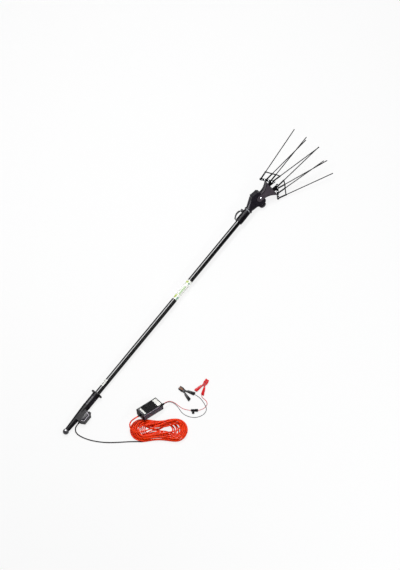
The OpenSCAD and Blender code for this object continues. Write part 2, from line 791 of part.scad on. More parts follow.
module spacer() {
    difference() {
        union() {
            for (i = [0:len(tine_lens) - 1])
                along_tine(i, sleeve_len) cylinder(d = sleeve_d + spacer_t / 2, h = spacer_t);
            for (i = [0:len(tine_lens) - 2]) hull() for (k = [i, i + 1])
                translate(tine_at(k, sleeve_len + spacer_t / 2))
                    sphere(d = spacer_t, $fn = coarse_fn / 2);
        }
        for (i = [0:len(tine_lens) - 1])
            along_tine(i, sleeve_len - spacer_t) cylinder(d = tine_d + 2 * seat_fit, h = 3 * spacer_t);
        for (i = [0:len(tine_lens) - 1])
            along_tine(i, 0) cylinder(d = sleeve_d + spacer_t, h = sleeve_len);
    }
}
module left_comb() {
    color("#1a181c") head() comb();
}
module right_comb() {
    color("#1a181c") head() rotate([180, 0, 0]) comb();
}
module left_tines() {
    color("#3c3a40") head() tines();
}
module right_tines() {
    color("#3c3a40") head() rotate([180, 0, 0]) tines();
}
module left_spacer() {
    color("#1a181c") head() spacer();
}
module right_spacer() {
    color("#1a181c") head() rotate([180, 0, 0]) spacer();
}

// Cords: a tube swept along points, and a smooth line through points chosen by hand
function unit(v) = v / norm(v);
function way(p, i) = unit(p[min(i + 1, len(p) - 1)] - p[max(i - 1, 0)]);
function ring(c, t, r, n) = let (s = unit(cross(t, [0, 0, 1])), u = cross(s, t))
    [for (k = [0:n - 1]) c + r * (cos(360 * k / n) * s + sin(360 * k / n) * u)];
function between(a, b, c, d, t) = b + t / 2 * (c - a)
    + t * t / 2 * (2 * a - 5 * b + 4 * c - d) + t * t * t / 2 * (3 * b - a - 3 * c + d);
function smooth(p, n) = concat([for (i = [0:len(p) - 2], k = [0:n - 1])
    between(p[max(i - 1, 0)], p[i], p[i + 1], p[min(i + 2, len(p) - 1)], k / n)], [p[len(p) - 1]]);
module tube(p, d, n) {
    m = len(p);
    polyhedron(
        points = [for (i = [0:m - 1]) each ring(p[i], way(p, i), d / 2, n)],
        faces = concat(
            [for (i = [0:m - 2], k = [0:n - 1]) let (a = i * n + k, b = i * n + (k + 1) % n)
                each [[a, b, a + n], [b, b + n, a + n]]],
            [for (k = [1:n - 2]) [0, k + 1, k]],
            [for (k = [1:n - 2]) [(m - 1) * n, (m - 1) * n + k, (m - 1) * n + k + 1]]));
}

module handle_lead() {
    color("#141416") beside() tube(smooth(lead_route, 2), lead_d, cord_sides);
}

// Extension cable: a hank of drawn-in loops, wound in and out again in climbing layers
module in_hank() {
    beside() translate([hank_x, hank_y, 0]) rotate([0, 0, hank_turn]) children();
}
function climb(turn) = let (k = floor(turn / loops + 1 / 2), t = (turn - k * loops) * 2 + 1 / 2)
    k <= 0 ? 0 : k - 1 + (t <= 0 ? 0 : t >= 1 ? 1 : t * t * (3 - 2 * t));
function coil_radius(turn) = let (k = floor(turn / loops), w = turn - k * loops)
    hank_r - loop_pitch * (k % 2 == 0 ? w : loops - w);
function hank_mid(q) = q < 1 / 8 ? 8 * q : q < 3 / 8 ? 1 : q < 5 / 8 ? 4 - 8 * q
    : q < 7 / 8 ? -1 : 8 * q - 8;
function hank_angle(q) = q < 1 / 8 ? -90 : q < 3 / 8 ? 720 * q - 180 : q < 5 / 8 ? 90
    : q < 7 / 8 ? 720 * q - 360 : 270;
function drawn_in(m) = hank_waist * (1 - m * m) * (1 - m * m);
function hank_point(r, m, a, z) = [r * cos(a) + hank_run * m, sin(a) * (r - drawn_in(m)), z];
function coil_point(turn) = let (q = turn - floor(turn))
    hank_point(coil_radius(turn), hank_mid(q), hank_angle(q), cable_d / 2 + climb(turn) * layer_step);
function lead_in_point(x) = let (m = x / lead_in)
    hank_point(hank_r + lead_stand * m * m, x / hank_run, -90, cable_d / 2);
coil_line = concat([for (x = [-lead_in, cable_d - lead_in, -lead_in / 2]) lead_in_point(x)],
    [for (i = [0:coil_rings]) coil_point(i / rings_per_loop)]);
coil_gap = min([for (i = [0:len(coil_line) - 1], j = [i + rings_per_loop / 2:1:len(coil_line) - 1])
    norm(coil_line[i] - coil_line[j])]) - cable_d;
module extension_coil() {
    echo(least_gap_of_coil = coil_gap);
    color("#e0401c") in_hank() tube(coil_line, cable_d, coil_sides);
}
module extension_tail() {
    color("#e0401c") in_hank() tube(tail_route, cable_d, cord_sides);
}
module join_plug() {
    color("#18181a") in_hank() translate(lead_in_point(-lead_in)) {
        bar_x(-plug_len, -plug_len / 2, plug_d - plug_step);
        bar_x(-plug_len / 2, 0, plug_d);
    }
}

// Control box: leans on the hank, with its far corner on the ground
box_z = box_len / 2 * sin(box_pitch)
    + cos(box_pitch) * (box_h / 2 * cos(box_roll) - box_w / 2 * sin(box_roll));
module in_box() {
    beside() translate([box_x, box_y, box_z]) rotate([box_roll, box_pitch, box_yaw]) children();
}
module box_screw_places() {
    for (x = [-1, 1], y = [-1, 1])
        translate([x * (box_len / 2 - box_screw_inset), y * (box_w / 2 - box_screw_inset), 0])
            children();
}
module box_gland_places() {
    translate([-box_len / 2, box_in_y, box_gland_z]) rotate([0, -90, 0]) children();
    translate([box_len / 2, box_out_y, box_gland_z]) rotate([0, 90, 0]) children();
}
module control_box_base() {
    color("#1c1c20") in_box() difference() {
        block([-box_len / 2, -box_w / 2, -box_h / 2], [box_len / 2, box_w / 2, box_split]);
        block([box_wall - box_len / 2, box_wall - box_w / 2, box_wall - box_h / 2],
            [box_len / 2 - box_wall, box_w / 2 - box_wall, box_split + over]);
        box_gland_places() translate([0, 0, -box_wall - over])
            cylinder(d = box_gland_d + 2 * seat_fit, h = box_wall + 2 * over);
    }
    color("#1c1c20") in_box() box_screw_places() translate([0, 0, box_wall - box_h / 2]) difference() {
        cylinder(d = screw_boss_d, h = box_split + box_h / 2 - box_wall);
        translate([0, 0, over]) cylinder(d = screw_d + 2 * seat_fit, h = box_h);
    }
}
module control_box_lid() {
    color("#26262a") in_box() difference() {
        union() {
            block([-box_len / 2, -box_w / 2, box_split], [box_len / 2, box_w / 2, box_h / 2 - fin_h]);
            for (k = [0:fin_count - 1])
                translate([-fin_run / 2, (k - (fin_count - 1) / 2) * fin_pitch - fin_t / 2,
                    box_h / 2 - fin_h])
                    cube([fin_run, fin_t, fin_h]);
        }
        box_screw_places() translate([0, 0, box_split - over]) {
            cylinder(d = screw_d + 2 * seat_fit, h = box_h);
            translate([0, 0, over + box_h / 2 - fin_h - box_split - screw_head_t])
                cylinder(d = screw_head_d + 2 * seat_fit, h = box_h);
        }
    }
}
module box_screws() {
    color("#a8a8aa") in_box() box_screw_places()
        translate([0, 0, box_h / 2 - fin_h]) rotate([180, 0, 0]) screw(box_screw_len);
}
module circuit_board() {
    color("#2c6a3a") in_box() {
        block([board_inset - box_len / 2, board_inset - box_w / 2, box_wall - box_h / 2 + seat_fit],
            [box_len / 2 - board_inset, box_w / 2 - board_inset, box_wall - box_h / 2 + board_t]);
        translate([0, 0, box_wall - box_h / 2 + board_t]) block([-coil_part / 2, -coil_part / 2, 0],
            [coil_part / 2, coil_part / 2, coil_part / 2]);
    }
}
module box_glands() {
    color("#141416") in_box() box_gland_places() {
        translate([0, 0, -box_wall]) cylinder(d = box_gland_d, h = box_wall);
        cylinder(d1 = box_gland_d, d2 = box_gland_tip_d, h = box_gland_len);
    }
}

// Battery leads with the fuse holder in the red one
module red_lead_feed() {
    color("#c81e28") beside() tube(red_feed_route, wire_d, wire_sides);
}
module red_lead_end() {
    color("#c81e28") beside() tube(red_end_route, wire_d, wire_sides);
}
module black_lead() {
    color("#26262a") beside() tube(black_route, wire_d, wire_sides);
}
module in_fuse() {
    beside() translate([fuse_x, fuse_y, fuse_d / 2]) rotate([0, 0, fuse_turn]) children();
}
module fuse_holder() {
    color("#18181a") in_fuse() bar_x(0, fuse_len - fuse_cap_len, fuse_d - fuse_step);
}
module fuse_cap() {
    color("#18181a") in_fuse() bar_x(fuse_len - fuse_cap_len, fuse_len, fuse_d);
}

// Clamps: two arms on a pin, lying on their sides; the arm with the lead stays, the other opens the jaws
module clamp_place(x, y, turn) {
    beside() translate([x, y, 0]) rotate([0, 0, turn]) children();
}
module clamp_side() {
    linear_extrude(clamp_t) polygon([[-jaw_len, jaw_gap], [-jaw_len, jaw_gap + jaw_t],
        [-knuckle_r, knuckle_r + jaw_gap], [knuckle_r, knuckle_r + jaw_gap],
        [clamp_back, clamp_spread + clamp_arm_t / 2], [clamp_back, clamp_spread - clamp_arm_t / 2],
        [0, jaw_gap]]);
}
module knuckle(low_share, high_share, r) {
    translate([0, 0, low_share * clamp_t]) cylinder(r = r, h = (high_share - low_share) * clamp_t);
}
module clamp_arm(shade) {
    color(shade) difference() {
        union() {
            clamp_side();
            knuckle(0, knuckle_share, knuckle_r);
            knuckle(1 - knuckle_share, 1, knuckle_r);
        }
        translate([0, 0, -slide_fit]) knuckle(knuckle_share, 1 - knuckle_share, knuckle_r + slide_fit);
        translate([0, 0, slide_fit]) knuckle(knuckle_share, 1 - knuckle_share, knuckle_r + slide_fit);
        knuckle(0, 1, clamp_pin_d / 2 + seat_fit);
    }
}
module clamp_jaw(shade) {
    color(shade) difference() {
        union() {
            difference() {
                mirror([0, 1, 0]) clamp_side();
                knuckle(0, knuckle_share, knuckle_r + slide_fit);
                knuckle(1 - knuckle_share, 1, knuckle_r + slide_fit);
            }
            knuckle(knuckle_share, 1 - knuckle_share, knuckle_r);
        }
        knuckle(0, 1, clamp_pin_d / 2 + run_fit);
    }
}
module clamp_pin() {
    color("#b0b0b2") knuckle(0, 1, clamp_pin_d / 2);
}
module red_clamp_arm() {
    clamp_place(red_x, red_y, red_turn) clamp_arm("#d0141e");
}
module red_clamp_jaw() {
    clamp_place(red_x, red_y, red_turn) clamp_jaw("#d0141e");
}
module red_clamp_pin() {
    clamp_place(red_x, red_y, red_turn) clamp_pin();
}
module black_clamp_arm() {
    clamp_place(black_x, black_y, black_turn) clamp_arm("#1c1c1e");
}
module black_clamp_jaw() {
    clamp_place(black_x, black_y, black_turn) clamp_jaw("#1c1c1e");
}
module black_clamp_pin() {
    clamp_place(black_x, black_y, black_turn) clamp_pin();
}

outer_tube();
tube_bush();
handle_upper_shell();
handle_lower_shell();
handle_screws();
hand_guard();
ball_end();
trigger_button();
switch_block();
lead_gland();
lock_collar();
lever_pin();
lock_lever();
inner_tube();
slide_bush();
neck_socket();
gear_housing();
housing_cover();
motor_end_cap();
motor_can();
gearbox();
crank();
crosshead();
rod_guide();
head_front_shell();
head_rear_shell();
head_screws();
left_pivot_pin();
right_pivot_pin();
left_comb();
right_comb();
left_tines();
right_tines();
left_spacer();
right_spacer();
handle_lead();
join_plug();
extension_coil();
extension_tail();
control_box_base();
control_box_lid();
box_screws();
circuit_board();
box_glands();
red_lead_feed();
fuse_holder();
fuse_cap();
red_lead_end();
black_lead();
red_clamp_arm();
red_clamp_jaw();
red_clamp_pin();
black_clamp_arm();
black_clamp_jaw();
black_clamp_pin();
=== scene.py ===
import json
import logging
import math
from collections.abc import Callable, Iterator, Sequence
from contextlib import contextmanager
from dataclasses import dataclass
from enum import Enum
from typing import NamedTuple

import bmesh
import bpy
from mathutils import Matrix, Vector


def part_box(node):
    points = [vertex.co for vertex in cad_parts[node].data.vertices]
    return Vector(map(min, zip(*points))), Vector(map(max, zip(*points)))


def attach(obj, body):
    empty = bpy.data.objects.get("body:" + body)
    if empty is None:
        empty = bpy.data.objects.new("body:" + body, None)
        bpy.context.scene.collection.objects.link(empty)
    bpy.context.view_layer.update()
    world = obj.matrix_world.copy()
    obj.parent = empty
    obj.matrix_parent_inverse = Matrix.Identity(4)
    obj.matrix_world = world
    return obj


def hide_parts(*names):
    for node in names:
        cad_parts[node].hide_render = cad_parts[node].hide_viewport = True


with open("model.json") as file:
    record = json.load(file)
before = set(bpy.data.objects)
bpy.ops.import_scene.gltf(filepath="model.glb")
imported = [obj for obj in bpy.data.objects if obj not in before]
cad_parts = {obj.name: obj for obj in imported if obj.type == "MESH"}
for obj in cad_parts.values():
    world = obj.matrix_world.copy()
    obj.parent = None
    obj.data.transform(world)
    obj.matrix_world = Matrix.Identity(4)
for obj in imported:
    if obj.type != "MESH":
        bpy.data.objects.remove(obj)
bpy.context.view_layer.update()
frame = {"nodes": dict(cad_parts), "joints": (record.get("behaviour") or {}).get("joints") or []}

LOG = logging.getLogger("olive_harvester")
MM = 0.001
NODES: dict[str, bpy.types.Object] = frame["nodes"]
JOINTS: dict[str, dict] = {joint["name"]: joint for joint in frame["joints"]}

Piece = bpy.types.Object
Socket = bpy.types.NodeSocket
Tree = bpy.types.NodeTree
Pair = tuple[float, float]
Triple = tuple[float, float, float]
Outline = Sequence[Pair]
Route = Sequence[Triple]
Row = Sequence[float]

UPRIGHT = Matrix.Rotation(-math.pi / 2, 4, "Y")
MIRROR = Matrix.Scale(-1, 4, (0, 1, 0))
# Edges flatter than this are shaded smooth: on turned pieces with ribs, on dipped ones and on cords
TURNED_DEG, DIPPED_DEG, CORD_DEG = 25, 45, 60


# Places: the tool, its head, the control box and the hank each have a frame of their own
BALL_R = 18 * MM
CRANK_BEHIND = 6 * MM
HANK_SPOT = (339, -416)
HANK_TURN = -52
BOX_SPOT = (399, -303)
BOX_TURNS = (-16, 10, -22.5)
BOX_HALVES = (70, 35, 22.5)


def shift(x_mm: float, y_mm: float, z_mm: float) -> Matrix:
    """Returns a move that is given in millimetres."""
    return Matrix.Translation((x_mm * MM, y_mm * MM, z_mm * MM))


def ball_point() -> Vector:
    """Returns the middle of the ball on the handle's end."""
    low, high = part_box("ball_end")
    return Vector((low.x + BALL_R, (low.y + high.y) / 2, low.z + BALL_R))


def tool_place() -> Matrix:
    """Returns the frame of the pole: X along it, from the ball."""
    rise = Vector(JOINTS["telescope"]["axis"])
    return Matrix.Translation(ball_point()) @ Matrix.Rotation(-math.asin(rise.z), 4, "Y")


def head_place() -> Matrix:
    """Returns the frame of the head: X out of it, Y across it, Z out of the fan's face."""
    joints = [JOINTS[name] for name in ("crosshead_slide", "crank_turn", "left_comb_swing")]
    out, across, face = (Vector(joint["axis"]).normalized() for joint in joints)
    origin = Vector(JOINTS["crank_turn"]["pos_m"]) + CRANK_BEHIND * out
    return Matrix.Translation(origin) @ Matrix((out, across, face)).transposed().to_4x4()


def floor_place(x_mm: float, y_mm: float, z_mm: float, turn_deg: float) -> Matrix:
    """Returns a frame on the ground beside the tool.

    Args:
        x_mm: distance ahead of the ball.
        y_mm: distance to the left of the ball.
        z_mm: height above the ground.
        turn_deg: turn about the upright.

    Returns:
        The frame as a matrix in metres.
    """
    ball = ball_point()
    spot = Matrix.Translation((ball.x + x_mm * MM, ball.y + y_mm * MM, z_mm * MM))
    return spot @ Matrix.Rotation(math.radians(turn_deg), 4, "Z")


def hank_place(z_mm: float = 0) -> Matrix:
    """Returns the frame in the middle of the hank: X along its runs, at a height."""
    return floor_place(*HANK_SPOT, z_mm, HANK_TURN)


def box_place() -> Matrix:
    """Returns the frame in the middle of the control box, X along it and Z out of its lid."""
    yaw, pitch, roll = (math.radians(angle) for angle in BOX_TURNS)
    half_len, half_w, half_h = BOX_HALVES
    height = (half_len * math.sin(pitch)
              + math.cos(pitch) * (half_h * math.cos(roll) - half_w * math.sin(roll)))
    turn = Matrix.Rotation(yaw, 4, "Z") @ Matrix.Rotation(pitch, 4, "Y") @ Matrix.Rotation(roll, 4, "X")
    return floor_place(*BOX_SPOT, height, 0) @ turn


# Mesh work: primitives are added, shaped in edit mode and settled in the shared frame


def start(add: Callable, **settings) -> Piece:
    """Adds one primitive with nothing else selected.

    Args:
        add: the operator that adds it.
        settings: the operator's settings.

    Returns:
        The new object.
    """
    bpy.ops.object.select_all(action="DESELECT")
    add(**settings)
    return bpy.context.active_object


def choose(*pieces: Piece) -> None:
    """Selects pieces alone and makes the first of them active.

    Args:
        pieces: the pieces.
    """
    bpy.ops.object.select_all(action="DESELECT")
    for piece in pieces:
        piece.select_set(True)
    bpy.context.view_layer.objects.active = pieces[0]


@contextmanager
def editing(piece: Piece) -> Iterator[None]:
    """Opens a piece in edit mode and closes it again.

    Args:
        piece: the mesh to work on.
    """
    choose(piece)
    bpy.ops.object.mode_set(mode="EDIT")
    yield
    bpy.ops.object.mode_set(mode="OBJECT")


class Items(Enum):
    """What is selected in edit mode, with its name in a mesh."""

    FACE = "faces"
    EDGE = "edges"


def pick(piece: Piece, items: Items, test: Callable[[list[Vector]], bool]) -> None:
    """Selects the faces or the edges that pass a test, in edit mode.

    Args:
        piece: the mesh being edited.
        items: faces or edges.
        test: takes the corners of one of them.
    """
    bpy.ops.mesh.select_mode(type=items.name)
    shape = bmesh.from_edit_mesh(piece.data)
    for item in getattr(shape, items.value):
        item.select_set(test([corner.co for corner in item.verts]))
    bmesh.update_edit_mesh(piece.data)


def finish_with(piece: Piece, kind: str, **settings) -> None:
    """Adds a modifier and applies it.

    Args:
        piece: the mesh to finish.
        kind: the modifier's type.
        settings: its settings.
    """
    choose(piece)
    modifier = piece.modifiers.new(kind.title(), kind)
    for key, value in settings.items():
        setattr(modifier, key, value)
    bpy.ops.object.modifier_apply(modifier=modifier.name)


def join(pieces: list[Piece]) -> Piece:
    """Joins meshes into the first of them and returns it."""
    choose(*pieces)
    if len(pieces) > 1:
        bpy.ops.object.join()
    return pieces[0]


def moved(piece: Piece, move: Matrix) -> Piece:
    """Moves a mesh within its object and returns it."""
    piece.data.transform(move)
    return piece


def settle(
    piece: Piece, name: str, place: Matrix, finish: "Finish", body: str = "pole",
    smooth_deg: float = 35
) -> Piece:
    """Puts a modelled piece in its place, gives it its finish and lets it ride.

    Args:
        piece: the mesh, shaped about its own origin.
        name: its name in the scene.
        place: the frame it stands in.
        finish: what it is made of.
        body: the body that carries it.
        smooth_deg: edges flatter than this are shaded smooth.

    Returns:
        The same piece.
    """
    piece.data.transform(place @ piece.matrix_basis)
    piece.matrix_basis = Matrix.Identity(4)
    piece.name = name
    piece.data.name = name
    with editing(piece):
        bpy.ops.mesh.select_all(action="SELECT")
        bpy.ops.mesh.normals_make_consistent(inside=False)
    bpy.ops.object.shade_smooth_by_angle(angle=math.radians(smooth_deg))
    piece.data.materials.clear()
    piece.data.materials.append(finish.material())
    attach(piece, body)
    LOG.info("%s rides on %s", name, body)
    return piece


def round_bar(rings: Outline, sides: int = 32) -> Piece:
    """Models a turned piece along X by extruding a disc and scaling each ring.

    Args:
        rings: place along X and radius of each ring, in millimetres.
        sides: corners of each ring.

    Returns:
        The closed mesh.
    """
    first_x, first_r = rings[0]
    piece = start(bpy.ops.mesh.primitive_circle_add, vertices=sides, radius=first_r * MM, fill_type="NGON",
                  location=(0, 0, 0), rotation=(0, math.pi / 2, 0))
    bpy.ops.object.transform_apply(location=True, rotation=True, scale=True)
    piece.data.transform(Matrix.Translation((first_x * MM, 0, 0)))
    with editing(piece):
        bpy.ops.mesh.select_all(action="SELECT")
        x, r = first_x, first_r
        for next_x, next_r in rings[1:]:
            bpy.ops.mesh.extrude_region_move(TRANSFORM_OT_translate={"value": ((next_x - x) * MM, 0, 0)})
            grow = next_r / r
            bpy.ops.transform.resize(value=(1, grow, grow), center_override=(next_x * MM, 0, 0))
            x, r = next_x, next_r
    return piece


def plate(size: Triple, middle: Triple, round_mm: float) -> Piece:
    """Models a plate with rounded edges.

    Args:
        size: its three sides in millimetres.
        middle: its middle in millimetres.
        round_mm: radius of its edges.

    Returns:
        The mesh.
    """
    piece = start(bpy.ops.mesh.primitive_cube_add, size=1, location=[value * MM for value in middle])
    piece.scale = [value * MM for value in size]
    bpy.ops.object.transform_apply(location=True, rotation=True, scale=True)
    with editing(piece):
        bpy.ops.mesh.select_all(action="SELECT")
        bpy.ops.mesh.bevel(offset=round_mm * MM, segments=3, affect="EDGES")
    return piece


# Finishes: what each surface is made of, and what that gives the eye


def linear(hex_colour: str) -> tuple[float, float, float, float]:
    """Turns an sRGB hex colour to linear light.

    Args:
        hex_colour: six hex digits after a hash sign.

    Returns:
        Red, green, blue and a full alpha.
    """
    parts = [int(hex_colour[k : k + 2], 16) / 255 for k in (1, 3, 5)]
    red, green, blue = (p / 12.92 if p <= 0.04045 else ((p + 0.055) / 1.055) ** 2.4 for p in parts)
    return (red, green, blue, 1.0)


def add_node(tree: Tree, kind: str, values: dict | None = None, links: dict | None = None) -> bpy.types.Node:
    """Adds a node with its settings and links.

    Args:
        tree: the material's nodes.
        kind: the node's type.
        values: attributes, or values of inputs by name or number.
        links: sockets to link to inputs by name or number.

    Returns:
        The new node.
    """
    node = tree.nodes.new(kind)
    for key, value in (values or {}).items():
        if isinstance(key, str) and hasattr(node, key):
            setattr(node, key, value)
        else:
            node.inputs[key].default_value = value
    for key, socket in (links or {}).items():
        tree.links.new(socket, node.inputs[key])
    return node


def fresh_tree(owner: bpy.types.Material | bpy.types.World) -> Tree:
    """Returns the node tree of a material or a sky, emptied."""
    owner.use_nodes = True
    owner.node_tree.nodes.clear()
    return owner.node_tree


class Along(Enum):
    """Which way the marks of making run on a surface, as a stretch of the pattern."""

    ANY = (1.0, 1.0, 1.0)
    POLE = (0.02, 1.0, 1.0)


class Texture(NamedTuple):
    """How a surface was made: width of its patches, width and depth of its grain, and spread of its gloss."""

    patch_mm: float
    grain_mm: float
    bump_mm: float = 0.05
    gloss_spread: float = 0.1


@dataclass(frozen=True)
class Finish:
    """A plain surface: two close colours that drift, an uneven gloss and a fine grain."""

    name: str
    colour: str
    drift: str
    roughness: float
    texture: Texture
    specular: float = 0.5
    metallic: float = 0.0
    ior: float = 1.5
    along: Along = Along.ANY

    def material(self) -> bpy.types.Material:
        """Makes the material, or returns it if it was made before."""
        made = bpy.data.materials.get(self.name)
        if made is None:
            made = bpy.data.materials.new(self.name)
            tree = fresh_tree(made)
            fixed = {"Metallic": self.metallic, "IOR": self.ior, "Specular IOR Level": self.specular}
            links = {"Base Color": self.paint(tree), "Roughness": self.gloss(tree),
                     "Normal": self.grain(tree)}
            shader = add_node(tree, "ShaderNodeBsdfPrincipled", fixed, links)
            add_node(tree, "ShaderNodeOutputMaterial", links={"Surface": shader.outputs["BSDF"]})
        return made

    def noise(self, tree: Tree, size_mm: float, detail: float = 3.0) -> Socket:
        """Makes a noise whose patches are about as wide as a real size, stretched the way the marks run.

        Args:
            tree: the material's nodes.
            size_mm: width of a patch.
            detail: how much finer structure it has.

        Returns:
            The noise's value socket.
        """
        where = add_node(tree, "ShaderNodeTexCoord").outputs["Object"]
        run = add_node(
            tree, "ShaderNodeMapping", {"Scale": self.along.value}, {"Vector": where}).outputs["Vector"]
        values = {"Scale": 1 / (size_mm * MM), "Detail": detail, "Roughness": 0.55}
        return add_node(tree, "ShaderNodeTexNoise", values, {"Vector": run}).outputs["Fac"]

    def ramp(self, tree: Tree, value: Socket, stops: list[tuple[float, str]]) -> Socket:
        """Turns a value into colours.

        Args:
            tree: the material's nodes.
            value: the value to read.
            stops: places from 0 to 1, with hex colours.

        Returns:
            The colour socket.
        """
        node = add_node(tree, "ShaderNodeValToRGB", links={"Fac": value})
        while len(node.color_ramp.elements) < len(stops):
            node.color_ramp.elements.new(0.5)
        for element, (place, colour) in zip(node.color_ramp.elements, stops):
            element.position = place
            element.color = linear(colour)
        return node.outputs["Color"]

    def paint(self, tree: Tree) -> Socket:
        """Returns the two colours, drifting from one to the other."""
        patches = self.noise(tree, self.texture.patch_mm)
        return self.ramp(tree, patches, [(0.3, self.colour), (0.75, self.drift)])

    def gloss(self, tree: Tree) -> Socket:
        """Returns an uneven roughness, in patches a third as wide as the colour's."""
        patches, half = self.noise(tree, self.texture.patch_mm / 3), self.texture.gloss_spread / 2
        values = {"From Min": 0.3, "From Max": 0.7,
                  "To Min": self.roughness - half, "To Max": self.roughness + half}
        return add_node(tree, "ShaderNodeMapRange", values, {"Value": patches}).outputs["Result"]

    def grain(self, tree: Tree) -> Socket:
        """Returns the bump of the grain."""
        values = {"Strength": 0.6, "Distance": self.texture.bump_mm * MM}
        height = self.noise(tree, self.texture.grain_mm, 2.0)
        return add_node(tree, "ShaderNodeBump", values, {"Height": height}).outputs["Normal"]


@dataclass(frozen=True)
class ScuffedPlastic(Finish):
    """Moulded plastic with a spark-eroded grain and pale scuffs where it was handled."""

    scuff: str = "#57535b"
    scuff_mm: float = 9.0

    def paint(self, tree: Tree) -> Socket:
        """Returns the drifting colours with thin scuffs on them."""
        marks = self.ramp(tree, self.noise(tree, self.scuff_mm, 6.0), [(0.64, "#000000"), (0.72, "#666666")])
        values = {"data_type": "RGBA", 7: linear(self.scuff)}
        return add_node(tree, "ShaderNodeMix", values, {0: marks, 6: super().paint(tree)}).outputs[2]


def ink(name: str, colour: str, drift: str) -> Finish:
    """Returns the finish of a printed mark in two close colours."""
    return Finish(name, colour, drift, 0.5, Texture(6, 3, 0.005), specular=0.1)


MOULDED = Texture(25, 1.2, 0.04, 0.14)
WIRE_SKIN = Texture(10, 0.9, 0.03)
DIPPED = Texture(12, 2.5, 0.06)

# Gloss black paint on drawn tube: clear reflections, with faint draw lines along the pole
TUBE_PAINT = Finish("gloss_black_paint", "#020203", "#050507", 0.12, Texture(60, 6, 0.004, 0.04),
                    along=Along.POLE, specular=0.18)
# Satin anodised aluminium: a pale grey oxide skin, with fine lines along the tube
BARE_ALUMINIUM = Finish("satin_aluminium", "#b9bcc0", "#a9acb1", 0.5, Texture(6, 0.8, 0.02), along=Along.POLE,
                        specular=0.06)
# Glass-filled nylon, moulded: near black with a violet cast, satin, with faint scuffs
BLACK_NYLON = ScuffedPlastic("black_moulded_nylon", "#060508", "#0c0b0f", 0.3, MOULDED, scuff="#232027",
                             specular=0.045)
GRIP_NYLON = ScuffedPlastic("grip_moulded_nylon", "#0a080c", "#141117", 0.42, MOULDED, scuff="#2b272f",
                            specular=0.045)
# The raised faces of the grip and the housings: a paler violet grey, a painted sheen that stands in for the
# light they catch, with scuffs
SHEEN_PAINTED_NYLON = ScuffedPlastic("worn_moulded_nylon", "#18151b", "#221e27", 0.34, Texture(18, 1.2, 0.04, 0.14),
                            scuff="#47424d", specular=0.07)
# Painted highlight: a pale grey strip along the edges of the switch housing and the box, standing in for the
# light on them; and the polished ball and motor cap
EDGE_HIGHLIGHT_NYLON = ScuffedPlastic("rubbed_nylon_edge", "#918b97", "#a19ba7", 0.36, Texture(12, 1.2, 0.03),
                            scuff="#a09aa6", specular=0.15)
BALL_NYLON = Finish("polished_nylon_ball", "#2a272d", "#35323a", 0.35, Texture(20, 2, 0.01, 0.06),
                    specular=0.7)
# The fan's face: the same plastic in a warm dark grey, more worn
GREY_NYLON = ScuffedPlastic("grey_moulded_nylon", "#3e383e", "#4b444b", 0.42, Texture(20, 1.5, 0.06, 0.16),
                            scuff="#6a636a", scuff_mm=5, specular=0.08)
# ABS of the control box: fine matt grain
BOX_ABS = ScuffedPlastic("black_box_abs", "#08080b", "#0f0f13", 0.4, Texture(20, 1.0, 0.04), scuff="#24242a",
                         specular=0.05)
# The vents: the same ABS, greyed. The ribs on the near side of the box: slate grey, painted light that stands
# in for the light on that side
VENT_ABS = ScuffedPlastic("grey_vent_abs", "#67656c", "#77757c", 0.5, Texture(12, 1.0), scuff="#a5a3aa",
                          specular=0.08)
SIDE_LIGHT_ABS = ScuffedPlastic("slate_box_abs", "#55555f", "#61616b", 0.45, Texture(10, 1.0), scuff="#5c5c66",
                           specular=0.08)
# Natural nylon of the bushes: warm off-white and waxy
NATURAL_NYLON = Finish("natural_nylon", "#cfcabb", "#bdb7a6", 0.5, Texture(10, 1.0, 0.03), specular=0.1)
# Passivated zinc plate: a dull, cloudy grey
ZINC_STEEL = Finish("zinc_plated_steel", "#74777b", "#63666a", 0.45, Texture(5, 0.6, 0.02, 0.2),
                    specular=0.08)
# Blackened screws
BLACK_STEEL = Finish("blackened_steel", "#141416", "#1e1e21", 0.42, Texture(5, 0.6, 0.02), specular=0.06)
# Bright plated bolts
BRIGHT_STEEL = Finish("bright_plated_steel", "#d2d4d6", "#b9bcbf", 0.25, Texture(4, 0.6, 0.02, 0.2),
                      metallic=1.0)
# Pultruded glass fibre rod: dark resin, faint fibres
FIBRE_ROD = Finish("pultruded_fibre_rod", "#070608", "#0e0d10", 0.4, Texture(14, 0.9, 0.05, 0.2),
                   specular=0.04)
# Rubber sheath of the handle lead: matt black with dust
RUBBER_SHEATH = Finish("rubber_sheath", "#060607", "#0d0d0f", 0.45, Texture(12, 1.2), specular=0.06)
# PVC sheath of the long cable: strong orange-red, waxy, a little uneven along its run
ORANGE_PVC = Finish("orange_pvc_sheath", "#fb4310", "#ea3004", 0.36, Texture(40, 3, 0.03), specular=0.04)
# Thin PVC on the battery leads
RED_PVC = Finish("red_pvc_wire", "#d8303a", "#c01f2b", 0.42, WIRE_SKIN, specular=0.05)
DARK_PVC = Finish("dark_pvc_wire", "#2b2b30", "#3a3a40", 0.45, WIRE_SKIN, specular=0.05)
# Dipped PVC on the clamps: thick and smooth
RED_DIP = Finish("red_dipped_pvc", "#de1620", "#c80c16", 0.3, DIPPED, specular=0.05)
BLACK_DIP = Finish("black_dipped_pvc", "#08080a", "#101013", 0.34, DIPPED, specular=0.06)
# Copper plated steel of the jaws: brown where it has tarnished
COPPER = Finish("copper_plate", "#bd8468", "#a06c54", 0.5, Texture(4, 0.8, 0.04, 0.25), specular=0.1)
# Circuit board lacquer
BOARD = Finish("board_lacquer", "#1d5a33", "#2a6e40", 0.35, Texture(6, 1.0))
# Labels: blank white film, and the plain marks on it in greens and grey
LEAF_INK = ink("leaf_green_ink", "#bccb5e", "#a5bd55")
PALE_INK = ink("pale_green_ink", "#b9d3a4", "#a8c79a")
TEAL_INK = ink("grey_green_ink", "#83b39c", "#73a58d")
GREY_INK = ink("grey_ink", "#3c3c44", "#55555d")
BLANK_FILM = Finish("blank_label_film", "#f4f5f0", "#e9e9e2", 0.5, Texture(15, 3, 0.01), specular=0.1)


# Studio


